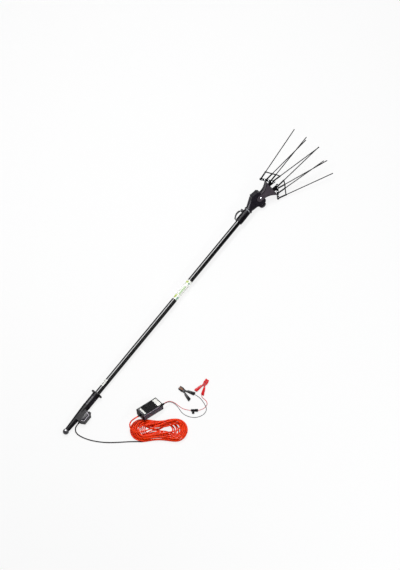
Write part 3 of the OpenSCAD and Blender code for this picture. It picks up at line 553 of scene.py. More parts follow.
@dataclass
class Studio:
    """Pale floor, soft light and the camera at the photograph's angle."""

    azimuth_deg: float = -52.0
    elevation_deg: float = 70.0
    lens_mm: float = 300.0
    view_width_m: float = 2.347
    target: Triple = (0.0748, 0.0547, 0.0)
    floor_m: float = 30.0
    floor_drop_m: float = 0.0004
    floor_glow: float = 0.84

    def build(self) -> None:
        """Makes the camera, the floor and the light."""
        self.make_camera()
        self.make_floor()
        self.make_light()
        bpy.context.scene.view_settings.view_transform = "Standard"

    def make_camera(self) -> None:
        """Aims a long lens at the middle of the picture."""
        lens = bpy.data.cameras.new("camera")
        lens.type = "PERSP"
        lens.sensor_fit = "HORIZONTAL"
        lens.sensor_width = 36.0
        lens.lens = self.lens_mm
        lens.clip_end = 100.0
        camera = bpy.data.objects.new("camera", lens)
        bpy.context.scene.collection.objects.link(camera)
        turn, lift = math.radians(self.azimuth_deg), math.radians(self.elevation_deg)
        back = Vector((math.sin(turn) * math.cos(lift), -math.cos(turn) * math.cos(lift), math.sin(lift)))
        camera.location = Vector(self.target) + back * (self.view_width_m * self.lens_mm / lens.sensor_width)
        camera.rotation_euler = (-back).to_track_quat("-Z", "Y").to_euler()
        bpy.context.scene.camera = camera

    def make_floor(self) -> None:
        """Lays a pale floor that the camera sees almost white, with the soft shadows left on it."""
        floor = start(bpy.ops.mesh.primitive_plane_add, size=self.floor_m,
                      location=(0, 0, -self.floor_drop_m))
        floor.name = "studio_floor"
        made = bpy.data.materials.new("studio_floor")
        tree = fresh_tree(made)
        matt = add_node(tree, "ShaderNodeBsdfDiffuse", {"Color": linear("#f2f2f2")}).outputs[0]
        glow = add_node(tree, "ShaderNodeEmission", {"Color": (1, 1, 1, 1), "Strength": 1.0}).outputs[0]
        rays = add_node(tree, "ShaderNodeLightPath").outputs
        seen = rays["Is Camera Ray"]
        for kind in ("Is Glossy Ray", "Is Transmission Ray"):
            seen = add_node(
                tree, "ShaderNodeMath", {"operation": "MAXIMUM"}, {0: seen, 1: rays[kind]}).outputs[0]
        share = add_node(
            tree, "ShaderNodeMath", {"operation": "MULTIPLY", 1: self.floor_glow}, {0: seen}).outputs[0]
        mixed = add_node(tree, "ShaderNodeMixShader", links={0: share, 1: matt, 2: glow}).outputs[0]
        add_node(tree, "ShaderNodeOutputMaterial", links={"Surface": mixed})
        floor.data.materials.append(made)

    def make_light(self) -> None:
        """Hangs a soft box along the pole, a sheen panel, a strip on the other side and a pale sky."""
        self.soft_box("key_light", (0.5, 0.9, 3.6), (3.0, 0.9), 108.0)
        self.soft_box("sheen_panel", (1.1, 2.3, 3.6), (3.6, 3.0), 1700.0, sheen_only=True)
        self.soft_box("fill_light", (-0.3, -2.6, 2.4), (2.6, 0.6), 40.0)
        world = bpy.data.worlds.new("studio_sky")
        tree = fresh_tree(world)
        sky = add_node(tree, "ShaderNodeBackground", {"Color": linear("#f4f6f8"), "Strength": 0.3})
        add_node(tree, "ShaderNodeOutputWorld", links={"Surface": sky.outputs[0]})
        bpy.context.scene.world = world

    def soft_box(self, name: str, spot: Triple, size: Pair, watts: float, sheen_only: bool = False) -> None:
        """Hangs one area light that faces the floor.

        Args:
            name: its name.
            spot: where it hangs.
            size: its two sides.
            watts: its power.
            sheen_only: whether it shows in glossy surfaces alone, and lights nothing.
        """
        lamp = bpy.data.lights.new(name, "AREA")
        lamp.shape = "RECTANGLE"
        lamp.size, lamp.size_y = size
        lamp.energy = watts
        light = bpy.data.objects.new(name, lamp)
        light.location = spot
        light.visible_diffuse = not sheen_only
        bpy.context.scene.collection.objects.link(light)


# Cords


def eased(points: list[Vector], steps: int = 5) -> list[Vector]:
    """Draws a smooth line along points, from the first to the last, that rounds off each corner.

    Args:
        points: the points it follows.
        steps: how many pieces each stretch gets.

    Returns:
        The points of the line.
    """
    held = [points[0], points[0], *points, points[-1], points[-1]]
    line: list[Vector] = []
    for a, b, c, d in zip(held, held[1:], held[2:], held[3:]):
        for k in range(steps):
            t = k / steps
            line.append((a * (1 - t) ** 3 + b * (3 * t**3 - 6 * t * t + 4)
                         + c * (3 * t + 3 * t * t - 3 * t**3 + 1) + d * t**3) / 6)
    return [*line, points[-1]]


def sheathed(name: str, line: list[Vector], diameter_mm: float, finish: Finish) -> Piece:
    """Models a cord as a round tube along a line.

    Args:
        name: its name.
        line: the points it follows.
        diameter_mm: its thickness.
        finish: its sheath.

    Returns:
        The cord as a mesh.
    """
    shape = bpy.data.curves.new(name, "CURVE")
    shape.dimensions = "3D"
    shape.bevel_depth = diameter_mm / 2 * MM
    shape.bevel_resolution = 4
    shape.use_fill_caps = True
    spline = shape.splines.new("POLY")
    spline.points.add(len(line) - 1)
    for spot, point in zip(spline.points, line):
        spot.co = (*point, 1.0)
    cord = bpy.data.objects.new(name, shape)
    bpy.context.scene.collection.objects.link(cord)
    choose(cord)
    bpy.ops.object.convert(target="MESH")
    return settle(bpy.context.active_object, name, Matrix.Identity(4), finish, smooth_deg=CORD_DEG)


@dataclass
class Cords:
    """The lead from the handle, the long cable in its hank, and the two battery leads."""

    lead_mm: float = 7.0
    cable_mm: float = 8.0
    wire_mm: float = 3.6
    hank_r: float = 66.0
    hank_run: float = 100.0
    hank_waist: float = 10.0
    low_pinch: Pair = (-0.3, 20.0)
    top_pinch: Pair = (0.35, 9.0)
    hank_short: float = 54.0
    loop_pitch: float = 9.4
    layer_step: float = 8.6
    loops: int = 4
    turns: float = 15.375
    start_marks: Row = (-95, -80, -65, -50, -35, -20, -10)
    start_stand: float = 1.5
    lead_steps: int = 6
    steps_per_loop: int = 48
    lead_route: Route = (
        (78, -27, 20.2), (64, -27.4, 20), (52.5, -29.5, 18.6), (42.5, -35.3, 16),
        (35.3, -44.2, 12.8), (31.4, -55.2, 9.8), (30.8, -67.5, 7.2), (32.5, -83, 5),
        (37, -104, 3.6), (45, -130, 3.5), (57, -158, 3.5), (73, -188, 3.5), (92, -218, 3.5),
        (113, -246, 3.5), (136, -273, 3.5), (160, -300, 3.5), (182, -325, 3.8), (196.7, -343.5, 4),
        (206.4, -355.9, 4))
    tail_route: Route = (
        (100, 60.1, 29.8), (84, 59.6, 30.4), (66, 57, 33), (46, 51.5, 36.6), (24, 44, 38.4),
        (0, 37, 38.4), (-30, 30.5, 38.4), (-60, 25, 38.4), (-82, 21, 38.4), (-95, 18.5, 38.4),
        (-106, 12.5, 38.4), (-114.5, 3, 38.4), (-118.5, -9, 38.4), (-117.5, -21.5, 38.4),
        (-112, -33, 38.4), (-102.5, -41.5, 38.4), (-91, -46, 38.4), (-78, -46, 38.4),
        (-54, -41, 38.4), (-24, -36, 38.4), (6, -30.5, 38.4), (36, -25, 38.4), (66, -20, 38.4),
        (86, -16.5, 38.4), (99, -14, 38.6), (110.5, -8.5, 39.4), (119.5, 0.5, 40.8),
        (124.5, 12, 42.4), (124.5, 24.5, 44), (120, 36.5, 45.4), (111.5, 45.5, 46.4),
        (100, 50.5, 47), (88, 51, 47.2), (72, 47, 47.2), (52, 40, 47.2), (32, 32, 47.2),
        (8, 21, 47.2), (-18, 9, 47.2), (-44, -2.5, 47.2), (-72, -14, 47.2), (-98, -21.5, 47.2),
        (-120, -24, 47.2), (-137, -22, 47.8), (-151.5, -15, 49), (-162, -4, 51), (-167.5, 10, 54),
        (-167, 25, 58), (-160, 38, 61.5), (-148.5, 47.5, 63.6), (-138, 54.5, 64), (-120.6, 67, 60.7))
    red_feed_route: Route = (
        (476.4, -344.2, 38.3), (490, -348, 35.5), (503, -353, 29), (514, -360, 20), (522, -370, 11),
        (527, -383, 5), (528, -398, 2), (527, -415, 2), (527, -432, 2.2), (530, -450, 4), (537, -469, 7),
        (547, -487, 9))
    red_end_route: Route = (
        (574, -521, 9), (583, -528, 7.2), (593, -533, 4.2), (604, -538, 2), (618, -541, 2), (632, -540, 2),
        (643, -533, 2), (649, -522, 2.4), (650.5, -509, 3.6), (649.5, -497, 5.6), (650.5, -489.5, 6.8),
        (654, -483.8, 7.4), (659, -480.5, 7.5), (664.6, -479.4, 7.5))
    black_route: Route = (
        (475.6, -347.8, 39.8), (489, -352, 37), (502, -358, 30), (512, -366, 21), (519, -377, 12),
        (522, -391, 5), (521, -407, 2), (516, -424, 2), (509, -442, 2), (505, -460, 2),
        (506, -480, 2), (512, -502, 2), (523, -524, 2), (540, -543, 2), (562, -556, 2),
        (585, -561, 2), (603, -558, 4), (614, -550, 5.6), (621, -539, 6.4), (627, -526, 5.6),
        (634, -509, 3.5), (640, -490, 3), (641, -468, 5), (637.5, -441, 7.5))

    def laid(self, route: Route, place: Matrix) -> list[Vector]:
        """Returns a route's points in the shared frame."""
        return [place @ (Vector(point) * MM) for point in route]

    def climb(self, turn: float) -> float:
        """Returns how many layers up the hank's line is after so many turns."""
        layer = math.floor(turn / self.loops + 0.5)
        part = (turn - layer * self.loops) * 2 + 0.5
        if layer <= 0:
            return 0.0
        return layer - 1 + (0 if part <= 0 else 1 if part >= 1 else part * part * (3 - 2 * part))

    def hank_point(self, radius: float, middle: float, angle_deg: float, height: float) -> Triple:
        """Returns a point of a loop that is drawn in at its waist and round at its ends.

        The inner loops slump further in, each pair of layers at its own place, and each pair is shorter at
        one end, so that the loops fill the middle of the hank.

        Args:
            radius: radius of its ends.
            middle: place along the runs, from -1 at one end to 1 at the other.
            angle_deg: turn about the middle of the end.
            height: height above the ground.

        Returns:
            The point in millimetres, in the hank's own frame.
        """
        waist = self.hank_waist * (1 - middle * middle) ** 2
        inner = max(self.hank_r - radius, 0) / (self.loops * self.loop_pitch)
        low = height < self.cable_mm / 2 + 1.5 * self.layer_step
        pinch, fill = self.low_pinch if low else self.top_pinch
        lean = (middle - pinch) / (1 - pinch if middle > pinch else 1 + pinch)
        waist += fill * inner * (1 - lean * lean) ** 2
        angle = math.radians(angle_deg)
        run = self.hank_run - (self.hank_short * inner if low == (middle > 0) else 0)
        return (radius * math.cos(angle) + run * middle, math.sin(angle) * (radius - waist), height)

    def wound(self, turn: float) -> Triple:
        """Returns the hank's line after so many turns, in the hank's own frame.

        Args:
            turn: turns from its start.

        Returns:
            The point in millimetres.
        """
        layer = math.floor(turn / self.loops)
        way = turn - layer * self.loops
        radius = self.hank_r - self.loop_pitch * (way if layer % 2 == 0 else self.loops - way)
        height = self.cable_mm / 2 + self.climb(turn) * self.layer_step
        part = 8 * (turn - math.floor(turn))
        if part < 1 or part >= 7:
            return self.hank_point(radius, part if part < 1 else part - 8, -90, height)
        if part < 3:
            return self.hank_point(radius, 1, 90 * part - 180, height)
        if part < 5:
            return self.hank_point(radius, 4 - part, 90, height)
        return self.hank_point(radius, -1, 90 * part - 360, height)

    def build(self) -> None:
        beside, hank = floor_place(0, 0, 0, 0), hank_place()
        lead = eased(self.laid(self.lead_route, beside), self.lead_steps)
        self.lay("handle_cord", lead, self.lead_mm, RUBBER_SHEATH, "black_cord", ["handle_lead"],
                 "connector", "loose", ["cord_join_plug"])
        start_run = []
        for x in self.start_marks:
            stand = self.start_stand * (x / self.start_marks[0]) ** 2
            start_run.append(self.hank_point(self.hank_r + stand, x / self.hank_run, -90, self.cable_mm / 2))
        steps = round(self.turns * self.steps_per_loop)
        turns = [self.wound(k / self.steps_per_loop) for k in range(steps)]
        line = self.laid((*start_run, *turns), hank) + eased(self.laid(self.tail_route, hank))
        self.lay("long_cable", line, self.cable_mm, ORANGE_PVC, "orange_cable",
                 ["extension_coil", "extension_tail"], "fitting", "coiled",
                 ["control_box_base", "control_box_lid", "box_screws", "circuit_board"])
        self.lay("red_feed_wire", eased(self.laid(self.red_feed_route, beside)), self.wire_mm, RED_PVC,
                 "red_wire", ["red_lead_feed"], "fitting", "loose", ["fuse_body", "fuse_strap"])
        for colour, solid, route, finish in (("red", "red_lead_end", self.red_end_route, RED_PVC),
                                             ("black", "black_lead", self.black_route, DARK_PVC)):
            carried = [f"{colour}_{part}"
                       for part in ("clamp_arm", "clamp_jaw", "clamp_pin", "arm_grip", "jaw_grip")]
            self.lay(f"{colour}_clamp_wire", eased(self.laid(route, beside)), self.wire_mm, finish,
                     f"{colour}_wire", [solid], "connector", "loose", carried)

    def lay(
        self, name: str, line: list[Vector], thick_mm: float, finish: Finish, slot: str, solids: list[str],
        far_end: str, lay: str, carried: list[str]
    ) -> None:
        """Args:
            name: its name.
            line: the points it follows.
            thick_mm: its diameter.
            finish: its sheath.
            slot: the record's material slot; not used.
            solids: the CAD nodes it stands for.
            far_end: what is on its far end; not used.
            lay: how it lies; not used.
            carried: the names of the pieces that are on it; not used.
        """
        cord = sheathed(name, line, thick_mm, finish)
        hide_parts(*solids)


# Shapes that several sub-assemblies share


def slab(outline: Outline, low_mm: float, high_mm: float, round_mm: float) -> Piece:
    """Models a flat piece from an outline, with its upper edge rounded.

    Args:
        outline: its corners in X and Y, in millimetres.
        low_mm: height of its lower face.
        high_mm: height of its upper face.
        round_mm: radius of the upper edge.

    Returns:
        The closed mesh.
    """
    piece = start(bpy.ops.mesh.primitive_circle_add, vertices=len(outline), radius=1.0, fill_type="NGON")
    for corner, (x, y) in zip(piece.data.vertices, outline):
        corner.co = (x * MM, y * MM, low_mm * MM)
    with editing(piece):
        bpy.ops.mesh.select_all(action="SELECT")
        bpy.ops.mesh.extrude_region_move(TRANSFORM_OT_translate={"value": (0, 0, (high_mm - low_mm) * MM)})
        top = high_mm * MM - 1e-6
        pick(piece, Items.EDGE, lambda ends: min(end.z for end in ends) > top)
        bpy.ops.mesh.bevel(offset=round_mm * MM, segments=2, affect="EDGES")
    return piece


def open_tube(span_mm: Pair, radius_mm: float, sides: int) -> Piece:
    """Models an open cylinder round X, without a wall.

    Args:
        span_mm: where it starts and ends along X.
        radius_mm: its radius.
        sides: how many sides it has.

    Returns:
        The mesh.
    """
    low, high = span_mm
    piece = start(bpy.ops.mesh.primitive_cylinder_add, vertices=sides, radius=radius_mm * MM,
                  end_fill_type="NOTHING", depth=(high - low) * MM, rotation=(0, math.pi / 2, 0),
                  location=((low + high) / 2 * MM, 0, 0))
    bpy.ops.object.transform_apply(location=True, rotation=True, scale=True)
    return piece


def band(span_mm: Pair, inner_mm: float, wall_mm: float, edge_mm: float = 0.0) -> Piece:
    """Models a ring round X.

    Args:
        span_mm: where it starts and ends along X.
        inner_mm: its inner radius.
        wall_mm: its wall.
        edge_mm: bevel of its edges, or 0 for none.

    Returns:
        The mesh.
    """
    piece = open_tube(span_mm, inner_mm, 64)
    finish_with(piece, "SOLIDIFY", thickness=wall_mm * MM, offset=1.0)
    if edge_mm:
        finish_with(piece, "BEVEL", width=edge_mm * MM, segments=2, limit_method="ANGLE")
    return piece


def raised_ring(from_mm: float, radius_mm: float) -> Piece:
    """Models a low rounded ring on a round bar along X."""
    return band((from_mm, from_mm + 5), radius_mm - 0.4, 1.2, 0.5)


def patch(span_mm: Pair, radius_mm: float, wall_mm: float, turns_deg: Pair) -> Piece:
    """Models a thin curved patch that lies on a round bar along X.

    Args:
        span_mm: where it starts and ends along X.
        radius_mm: radius that it lies on.
        wall_mm: its thickness.
        turns_deg: its two edges, as turns from the top towards the left.

    Returns:
        The closed mesh.
    """
    low, high = turns_deg

    def outside(corners: list[Vector]) -> bool:
        """Returns whether a face lies outside the two edges."""
        middle = sum(corners, Vector()) / len(corners)
        return not low < math.degrees(math.atan2(middle.y, middle.z)) < high

    piece = open_tube(span_mm, radius_mm, 128)
    with editing(piece):
        pick(piece, Items.FACE, outside)
        bpy.ops.mesh.delete(type="FACE")
    finish_with(piece, "SOLIDIFY", thickness=wall_mm * MM, offset=1.0)
    return piece


def dress(finish: Finish, *nodes: str) -> None:
    """Gives CAD nodes a finish.

    Args:
        finish: what they are made of.
        nodes: their names.
    """
    for node in nodes:
        NODES[node].data.materials.clear()
        NODES[node].data.materials.append(finish.material())
        LOG.info("%s is dressed in %s", node, finish.name)


@dataclass
class Pole:
    """The painted outer tube with its labels, and the pale inner tube."""

    radius: float = 16.0
    label: Pair = (1016.0, 1160.0)
    small_label: Pair = (343.0, 387.0)
    small_label_turn: Pair = (-6.0, 88.0)
    film: float = 0.15
    ink_film: float = 0.1
    marks: tuple[tuple[str, Finish, tuple], ...] = (
        ("label_corner_marks", LEAF_INK, ((1138, 1152, -4, 62), (1024, 1048, 6, 50))),
        ("label_row_marks", PALE_INK, tuple((1054 + 10.5 * k, 1063 + 10.5 * k, -34, 8) for k in range(6))),
        ("label_leaf_marks", TEAL_INK, ((1018, 1038, -60, -26), (1136, 1146, -52, -20))),
        ("small_label_marks", GREY_INK, ((352, 361, 16, 52), (369, 378, 16, 52))))

    def build(self) -> None:
        """Lays the two labels on the tube, and plain marks on them."""
        place = tool_place()
        wrap = band(self.label, self.radius, self.film)
        settle(wrap, "pole_band_label", place, BLANK_FILM)
        small = patch(self.small_label, self.radius, self.film, self.small_label_turn)
        settle(small, "pole_small_label", place, BLANK_FILM)
        for name, finish, spans in self.marks:
            shapes = [patch((low, high), self.radius + self.film, self.ink_film, turns)
                      for low, high, *turns in spans]
            settle(join(shapes), name, place, finish)

    def dress(self) -> None:
        """Paints the tubes."""
        dress(TUBE_PAINT, "outer_tube")
        dress(BARE_ALUMINIUM, "inner_tube")
        dress(NATURAL_NYLON, "tube_bush", "slide_bush")


@dataclass
class Handle:
    """The grip with its switch housing, guard, trigger and strain relief."""

    gland_y: float = -27.0
    relief: Outline = (
        (78, 4.2), (79, 4.7), (80.6, 4.7), (81, 4.2), (82.4, 4.2), (82.8, 5.1), (84.4, 5.1),
        (84.8, 4.6), (86.2, 4.6), (86.6, 5.7), (88.2, 5.7), (88.6, 5.2), (90, 5.2), (90.4, 6.5),
        (102, 6.5))
    panel: Outline = ((164, -25), (156.5, -52), (108.5, -52), (98, -33), (98, -25))
    edge: Outline = ((163, -25.4), (155.8, -50.8), (109.2, -50.8), (99.6, -33), (103.2, -33.4), (111, -47.4),
                     (153.2, -47.4), (159.4, -25.4))
    panel_low: float = 19.5
    panel_high: float = 20.6
    panel_round: float = 1.4
    edge_half: float = 0.3
    trigger_rib_x: float = 176.3
    trigger_rib_zs: Row = (-4.5, -1.5, 1.5, 4.5)
    grip_r: float = 22.0
    grip_ring_xs: Row = (190, 262, 272)
    # Painted sheen on the grip: a wide band on its upper left and a narrow one on its right, where the light
    # falls
    sheen_run: Pair = (196, 260)
    sheen_turns: Sequence[Pair] = ((-6, 44), (-64, -34))

    def build(self) -> None:
        """Models the strain relief, the panels of the housing, the trigger's ribs and the grip's rings."""
        place = tool_place()
        relief = settle(round_bar(self.relief), "lead_strain_relief", place @ shift(0, self.gland_y, 0),
                        BLACK_NYLON, smooth_deg=TURNED_DEG)
        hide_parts("lead_gland")
        turned = place @ Matrix.Rotation(math.pi, 4, "X") @ MIRROR
        # The raised panels of the housing, above and below, in the paler grey of the painted sheen
        for name, where in (("housing_upper_panel", place), ("housing_lower_panel", turned)):
            settle(slab(self.panel, self.panel_low, self.panel_high, self.panel_round),
                   name, where, SHEEN_PAINTED_NYLON)
        # Painted highlight: a pale strip along the housing's upper edges
        edge = slab(self.edge, self.panel_high - self.edge_half, self.panel_high + self.edge_half, 0.2)
        settle(edge, "housing_rubbed_edge", place, EDGE_HIGHLIGHT_NYLON)
        ribs = [plate((1.4, 16, 1.2), (self.trigger_rib_x, -40, z), 0.4) for z in self.trigger_rib_zs]
        settle(join(ribs), "trigger_ribs", place, BLACK_NYLON, "trigger")
        rings = [raised_ring(x, self.grip_r) for x in self.grip_ring_xs]
        settle(join(rings), "grip_rings", place, GRIP_NYLON)
        # Painted sheen: paler bands on the grip where the light falls on it
        faces = [patch(self.sheen_run, self.grip_r - 0.2, 0.6, turns) for turns in self.sheen_turns]
        settle(join(faces), "grip_worn_faces", place, SHEEN_PAINTED_NYLON)

    def dress(self) -> None:
        """Gives the mouldings and screws their finishes."""
        dress(GRIP_NYLON, "handle_upper_shell", "handle_lower_shell")
        dress(BALL_NYLON, "ball_end")
        dress(BLACK_NYLON, "hand_guard", "trigger_button", "switch_block", "lead_gland")
        dress(BLACK_STEEL, "handle_screws")


@dataclass
class Lock:
    """The collar on the tube's mouth and its lever."""

    collar_r: float = 22.0
    ring_xs: Row = (1636.0, 1646.0, 1656.0, 1666.0)
    lever_pin: Pair = (1695.0, 30.0)
    lever_len: float = 68.0
    lever_rise: float = 11.0
    lever_dip: float = 5.5
    pad_start: float = 0.14
    pad_steps: int = 12
    pad_sides: Pair = (7.0, 1.6)
    pad_half: float = 5.4

    def lever_line(self, share: float, out: float) -> Pair:
        """Returns a point of the tool beside the bowed lever, a share of the way from its pin to its tip."""
        bow = self.lever_rise * math.sin(math.pi * share) - self.lever_dip * share
        return (self.lever_pin[0] - share * self.lever_len, self.lever_pin[1] + bow + out)

    def build(self) -> None:
        """Models the ribs round the collar and the pad on the lever."""
        ribs = join([raised_ring(x, self.collar_r) for x in self.ring_xs])
        settle(ribs, "collar_ribs", tool_place(), BLACK_NYLON)
        shares = [self.pad_start + (1 - self.pad_start) * k / self.pad_steps
                  for k in range(self.pad_steps + 1)]
        outer, inner = self.pad_sides
        rim = [self.lever_line(share, outer) for share in shares]
        rim += [self.lever_line(share, inner) for share in reversed(shares)]
        settle(slab(rim, -self.pad_half, self.pad_half, 0.8), "lever_pad", tool_place(), BLACK_NYLON, "lever")

    def dress(self) -> None:
        """Gives the mouldings and the pin their finishes."""
        dress(GRIP_NYLON, "lock_collar")
        dress(BLACK_NYLON, "lock_lever")
        dress(ZINC_STEEL, "lever_pin")


@dataclass
class Head:
    """The neck, the gear housing with its motor, and the fan."""

    neck_half: float = 17.0
    mouth_half: float = 54.0
    gear_front: float = 30.0
    mouth: float = 100.0
    face: float = 24.0
    rim: float = 2.6
    rim_high: float = 1.3
    lip_us: Pair = (-22.0, 18.0)
    cap_middle: Triple = (-6.0, -47.0, 0.0)
    cap_r: float = 21.2
    bolt_u: float = 14.0
    bolt: Outline = ((-0.6, 5), (1, 5), (2.2, 4.2), (3.2, 2.8), (3.7, 1.2))
    steps: int = 12

    def edge(self, share: float, side: int, inset: float) -> Pair:
        """Returns a point of the head on the fan's left side, 1, or right side, -1, or inset from it."""
        half = self.neck_half + (self.mouth_half - self.neck_half) * share * share
        return (self.gear_front + share * (self.mouth - self.gear_front), side * (half - inset))

    def build(self) -> None:
        """Models the fan's rims, the lips and the bolt of the gear housing, and the ring of the motor cap."""
        place = head_place()
        shares = [k / self.steps for k in range(self.steps + 1)]
        for side, name in ((1, "fan_left_rim"), (-1, "fan_right_rim")):
            outer = [self.edge(share, side, 0.0) for share in shares]
            inner = [self.edge(share, side, self.rim) for share in reversed(shares)]
            rim = slab(outer + inner, self.face - 0.4, self.face + self.rim_high, 0.5)
            settle(rim, name, place, BLACK_NYLON, "head")
        lips = [plate((4, 7, 36), (u, 41.5, -3), 0.8) for u in self.lip_us]
        settle(join(lips), "housing_left_lips", place, BLACK_NYLON, "head")
        turn = shift(*self.cap_middle) @ Matrix.Rotation(-math.pi / 2, 4, "Z")
        settle(band((-4, 2), self.cap_r, 1.3, 0.5), "motor_cap_ring", place @ turn, BLACK_NYLON, "head")
        upright = place @ shift(self.bolt_u, 0, self.face) @ UPRIGHT
        settle(round_bar(self.bolt, 24), "housing_bolt", upright, BRIGHT_STEEL, "head")

    def dress(self) -> None:
        """Gives the mouldings and the works their finishes."""
        dress(GREY_NYLON, "head_front_shell")
        dress(BLACK_NYLON, "head_rear_shell", "rod_guide")
        # Painted sheen: the gear housing, its cover and the neck in the paler violet grey that stands in for
        # their highlights
        dress(SHEEN_PAINTED_NYLON, "gear_housing", "housing_cover", "neck_socket")
        dress(BALL_NYLON, "motor_end_cap")
        dress(BRIGHT_STEEL, "head_screws")
        dress(ZINC_STEEL, "left_pivot_pin", "right_pivot_pin", "crank", "crosshead", "gearbox", "motor_can")


@dataclass
class Combs:
    """The two swinging combs with their tines."""

    inner_u: float = 138.0
    inner_y: float = 15.0
    length: float = 96.0
    lean_deg: float = 34.0
    bolt_shares: Row = (0.045, 0.215, 0.445, 0.7, 0.86)
    bolt_heights: Pair = (14.7, 1.3)
    bolt: Outline = ((0, 3.6), (1.4, 3.6), (2.2, 2.8), (2.6, 1.4))
    tine_shares: Row = (0.12, 0.31, 0.58, 0.95)
    tine_leans: Row = (-4.0, 12.0, 5.5, 17.5)
    tine_lifts: Row = (3.95, 12.05, 3.95, 8.0)
    spacer_run: float = 52.0
    link_gap: float = 4.0
    link_r: float = 3.4
    link_end_r: float = 2.8

    def bar_point(self, share: float) -> Pair:
        """Returns a point of the bar, out of the head and across it, by its share of the length."""
        lean, run = math.radians(self.lean_deg), share * self.length
        return (self.inner_u - run * math.sin(lean), self.inner_y + run * math.cos(lean))

    def spacer_point(self, k: int) -> Vector:
        """Returns where the spacer holds a tine, counted from the inner one."""
        u, y = self.bar_point(self.tine_shares[k])
        lean = math.radians(self.tine_leans[k])
        run = self.spacer_run
        return Vector((u + run * math.cos(lean), y + run * math.sin(lean), self.tine_lifts[k])) * MM

    def spacer_links(self) -> Piece:
        """Models the stout links of the spacer between one tine and the next."""
        links = []
        for k in range(len(self.tine_shares) - 1):
            run = self.spacer_point(k + 1) - self.spacer_point(k)
            near, far = self.link_gap, run.length / MM - self.link_gap
            rings = ((near, self.link_end_r), (near + 1, self.link_r),
                     (far - 1, self.link_r), (far, self.link_end_r))
            turn = run.to_track_quat("X", "Z").to_matrix().to_4x4()
            links.append(moved(round_bar(rings, 16), Matrix.Translation(self.spacer_point(k)) @ turn))
        return join(links)

    def bar_bolts(self) -> Piece:
        """Models the bolt heads on both faces of a bar."""
        heads = []
        for share in self.bolt_shares:
            for turn, height in zip((UPRIGHT, UPRIGHT.inverted()), self.bolt_heights):
                heads.append(moved(round_bar(self.bolt, 16), shift(*self.bar_point(share), height) @ turn))
        return join(heads)

    def build(self) -> None:
        """Models the bright bolt heads on both bars and the links of both spacers."""
        left = head_place()
        for name, place in (("left", left), ("right", left @ Matrix.Rotation(math.pi, 4, "X"))):
            settle(self.bar_bolts(), f"{name}_bar_bolts", place, BRIGHT_STEEL, f"{name}_comb")
            settle(self.spacer_links(), f"{name}_spacer_links", place, BLACK_NYLON, f"{name}_comb")

    def dress(self) -> None:
        """Gives the bars, spacers and tines their finishes."""
        dress(BLACK_NYLON, "left_comb", "right_comb", "left_spacer", "right_spacer")
        dress(FIBRE_ROD, "left_tines", "right_tines")


@dataclass
class Box:
    """The control box with its blank labels, ribs, vents and glands."""

    lid: float = 19.5
    half_len: float = 70.0
    labels: tuple[tuple[str, float, float, float], ...] = (
        ("box_far_label", 25, 56, 52), ("box_near_label", 10, 54, -50.5))
    rib_xs: range = range(-60, 61, 8)
    vent_xs: Pair = (-59.5, -64.5)
    out_gland_y: float = -22.0
    gland: Outline = (
        (-3, 7.5), (4, 7.5), (4.6, 6.9), (5.6, 6.9), (6.2, 6.3), (7.4, 6.3), (7.8, 6.7), (9, 6.7), (9.4, 5.6),
        (10.6, 5.6), (11, 6.0), (12.2, 6.0), (12.6, 5.0), (16, 4.5))

    def build(self) -> None:
        """Models the labels, the ribs and the edge of the near side, both painted light, the vents and the
        two glands.
        """
        place = box_place()
        for name, length, width, x in self.labels:
            label = plate((length, width, 0.5), (x, 0, self.lid + 0.15), 0.2)
            settle(label, name, place, BLANK_FILM)
        # Painted light: slate-grey ribs on the near side of the black box, for the light on that side
        ribs = [plate((7.1, 1.2, 27), (x, -35.2, -6.5), 0.5) for x in self.rib_xs]
        settle(join(ribs), "box_side_ribs", place, SIDE_LIGHT_ABS)
        # Painted highlight: a pale strip along the upper edge of the near side
        edge = plate((112, 1.8, 7), (-10, -34.6, self.lid - 4.2), 0.6)
        settle(edge, "box_lid_edge", place, EDGE_HIGHLIGHT_NYLON)
        bars = [plate((2.6, 44, 1.4), (x, 0, self.lid + 0.4), 0.5) for x in self.vent_xs]
        bars.append(plate((1.2, 50, 16), (-self.half_len - 0.3, 0, -12), 0.4))
        settle(join(bars), "box_vent_bars", place, VENT_ABS)
        ways = (shift(-self.half_len, 0, 0) @ Matrix.Rotation(math.pi, 4, "Z"),
                shift(self.half_len, self.out_gland_y, 0))
        glands = join([moved(round_bar(self.gland), way) for way in ways])
        settle(glands, "box_cable_glands", place, BLACK_NYLON, smooth_deg=TURNED_DEG)
        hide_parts("box_glands")

    def dress(self) -> None:
        """Gives the case, the screws and the board their finishes."""
        dress(BOX_ABS, "control_box_base", "control_box_lid")
        dress(BLACK_NYLON, "box_glands")
        dress(BLACK_STEEL, "box_screws")
        dress(BOARD, "circuit_board")


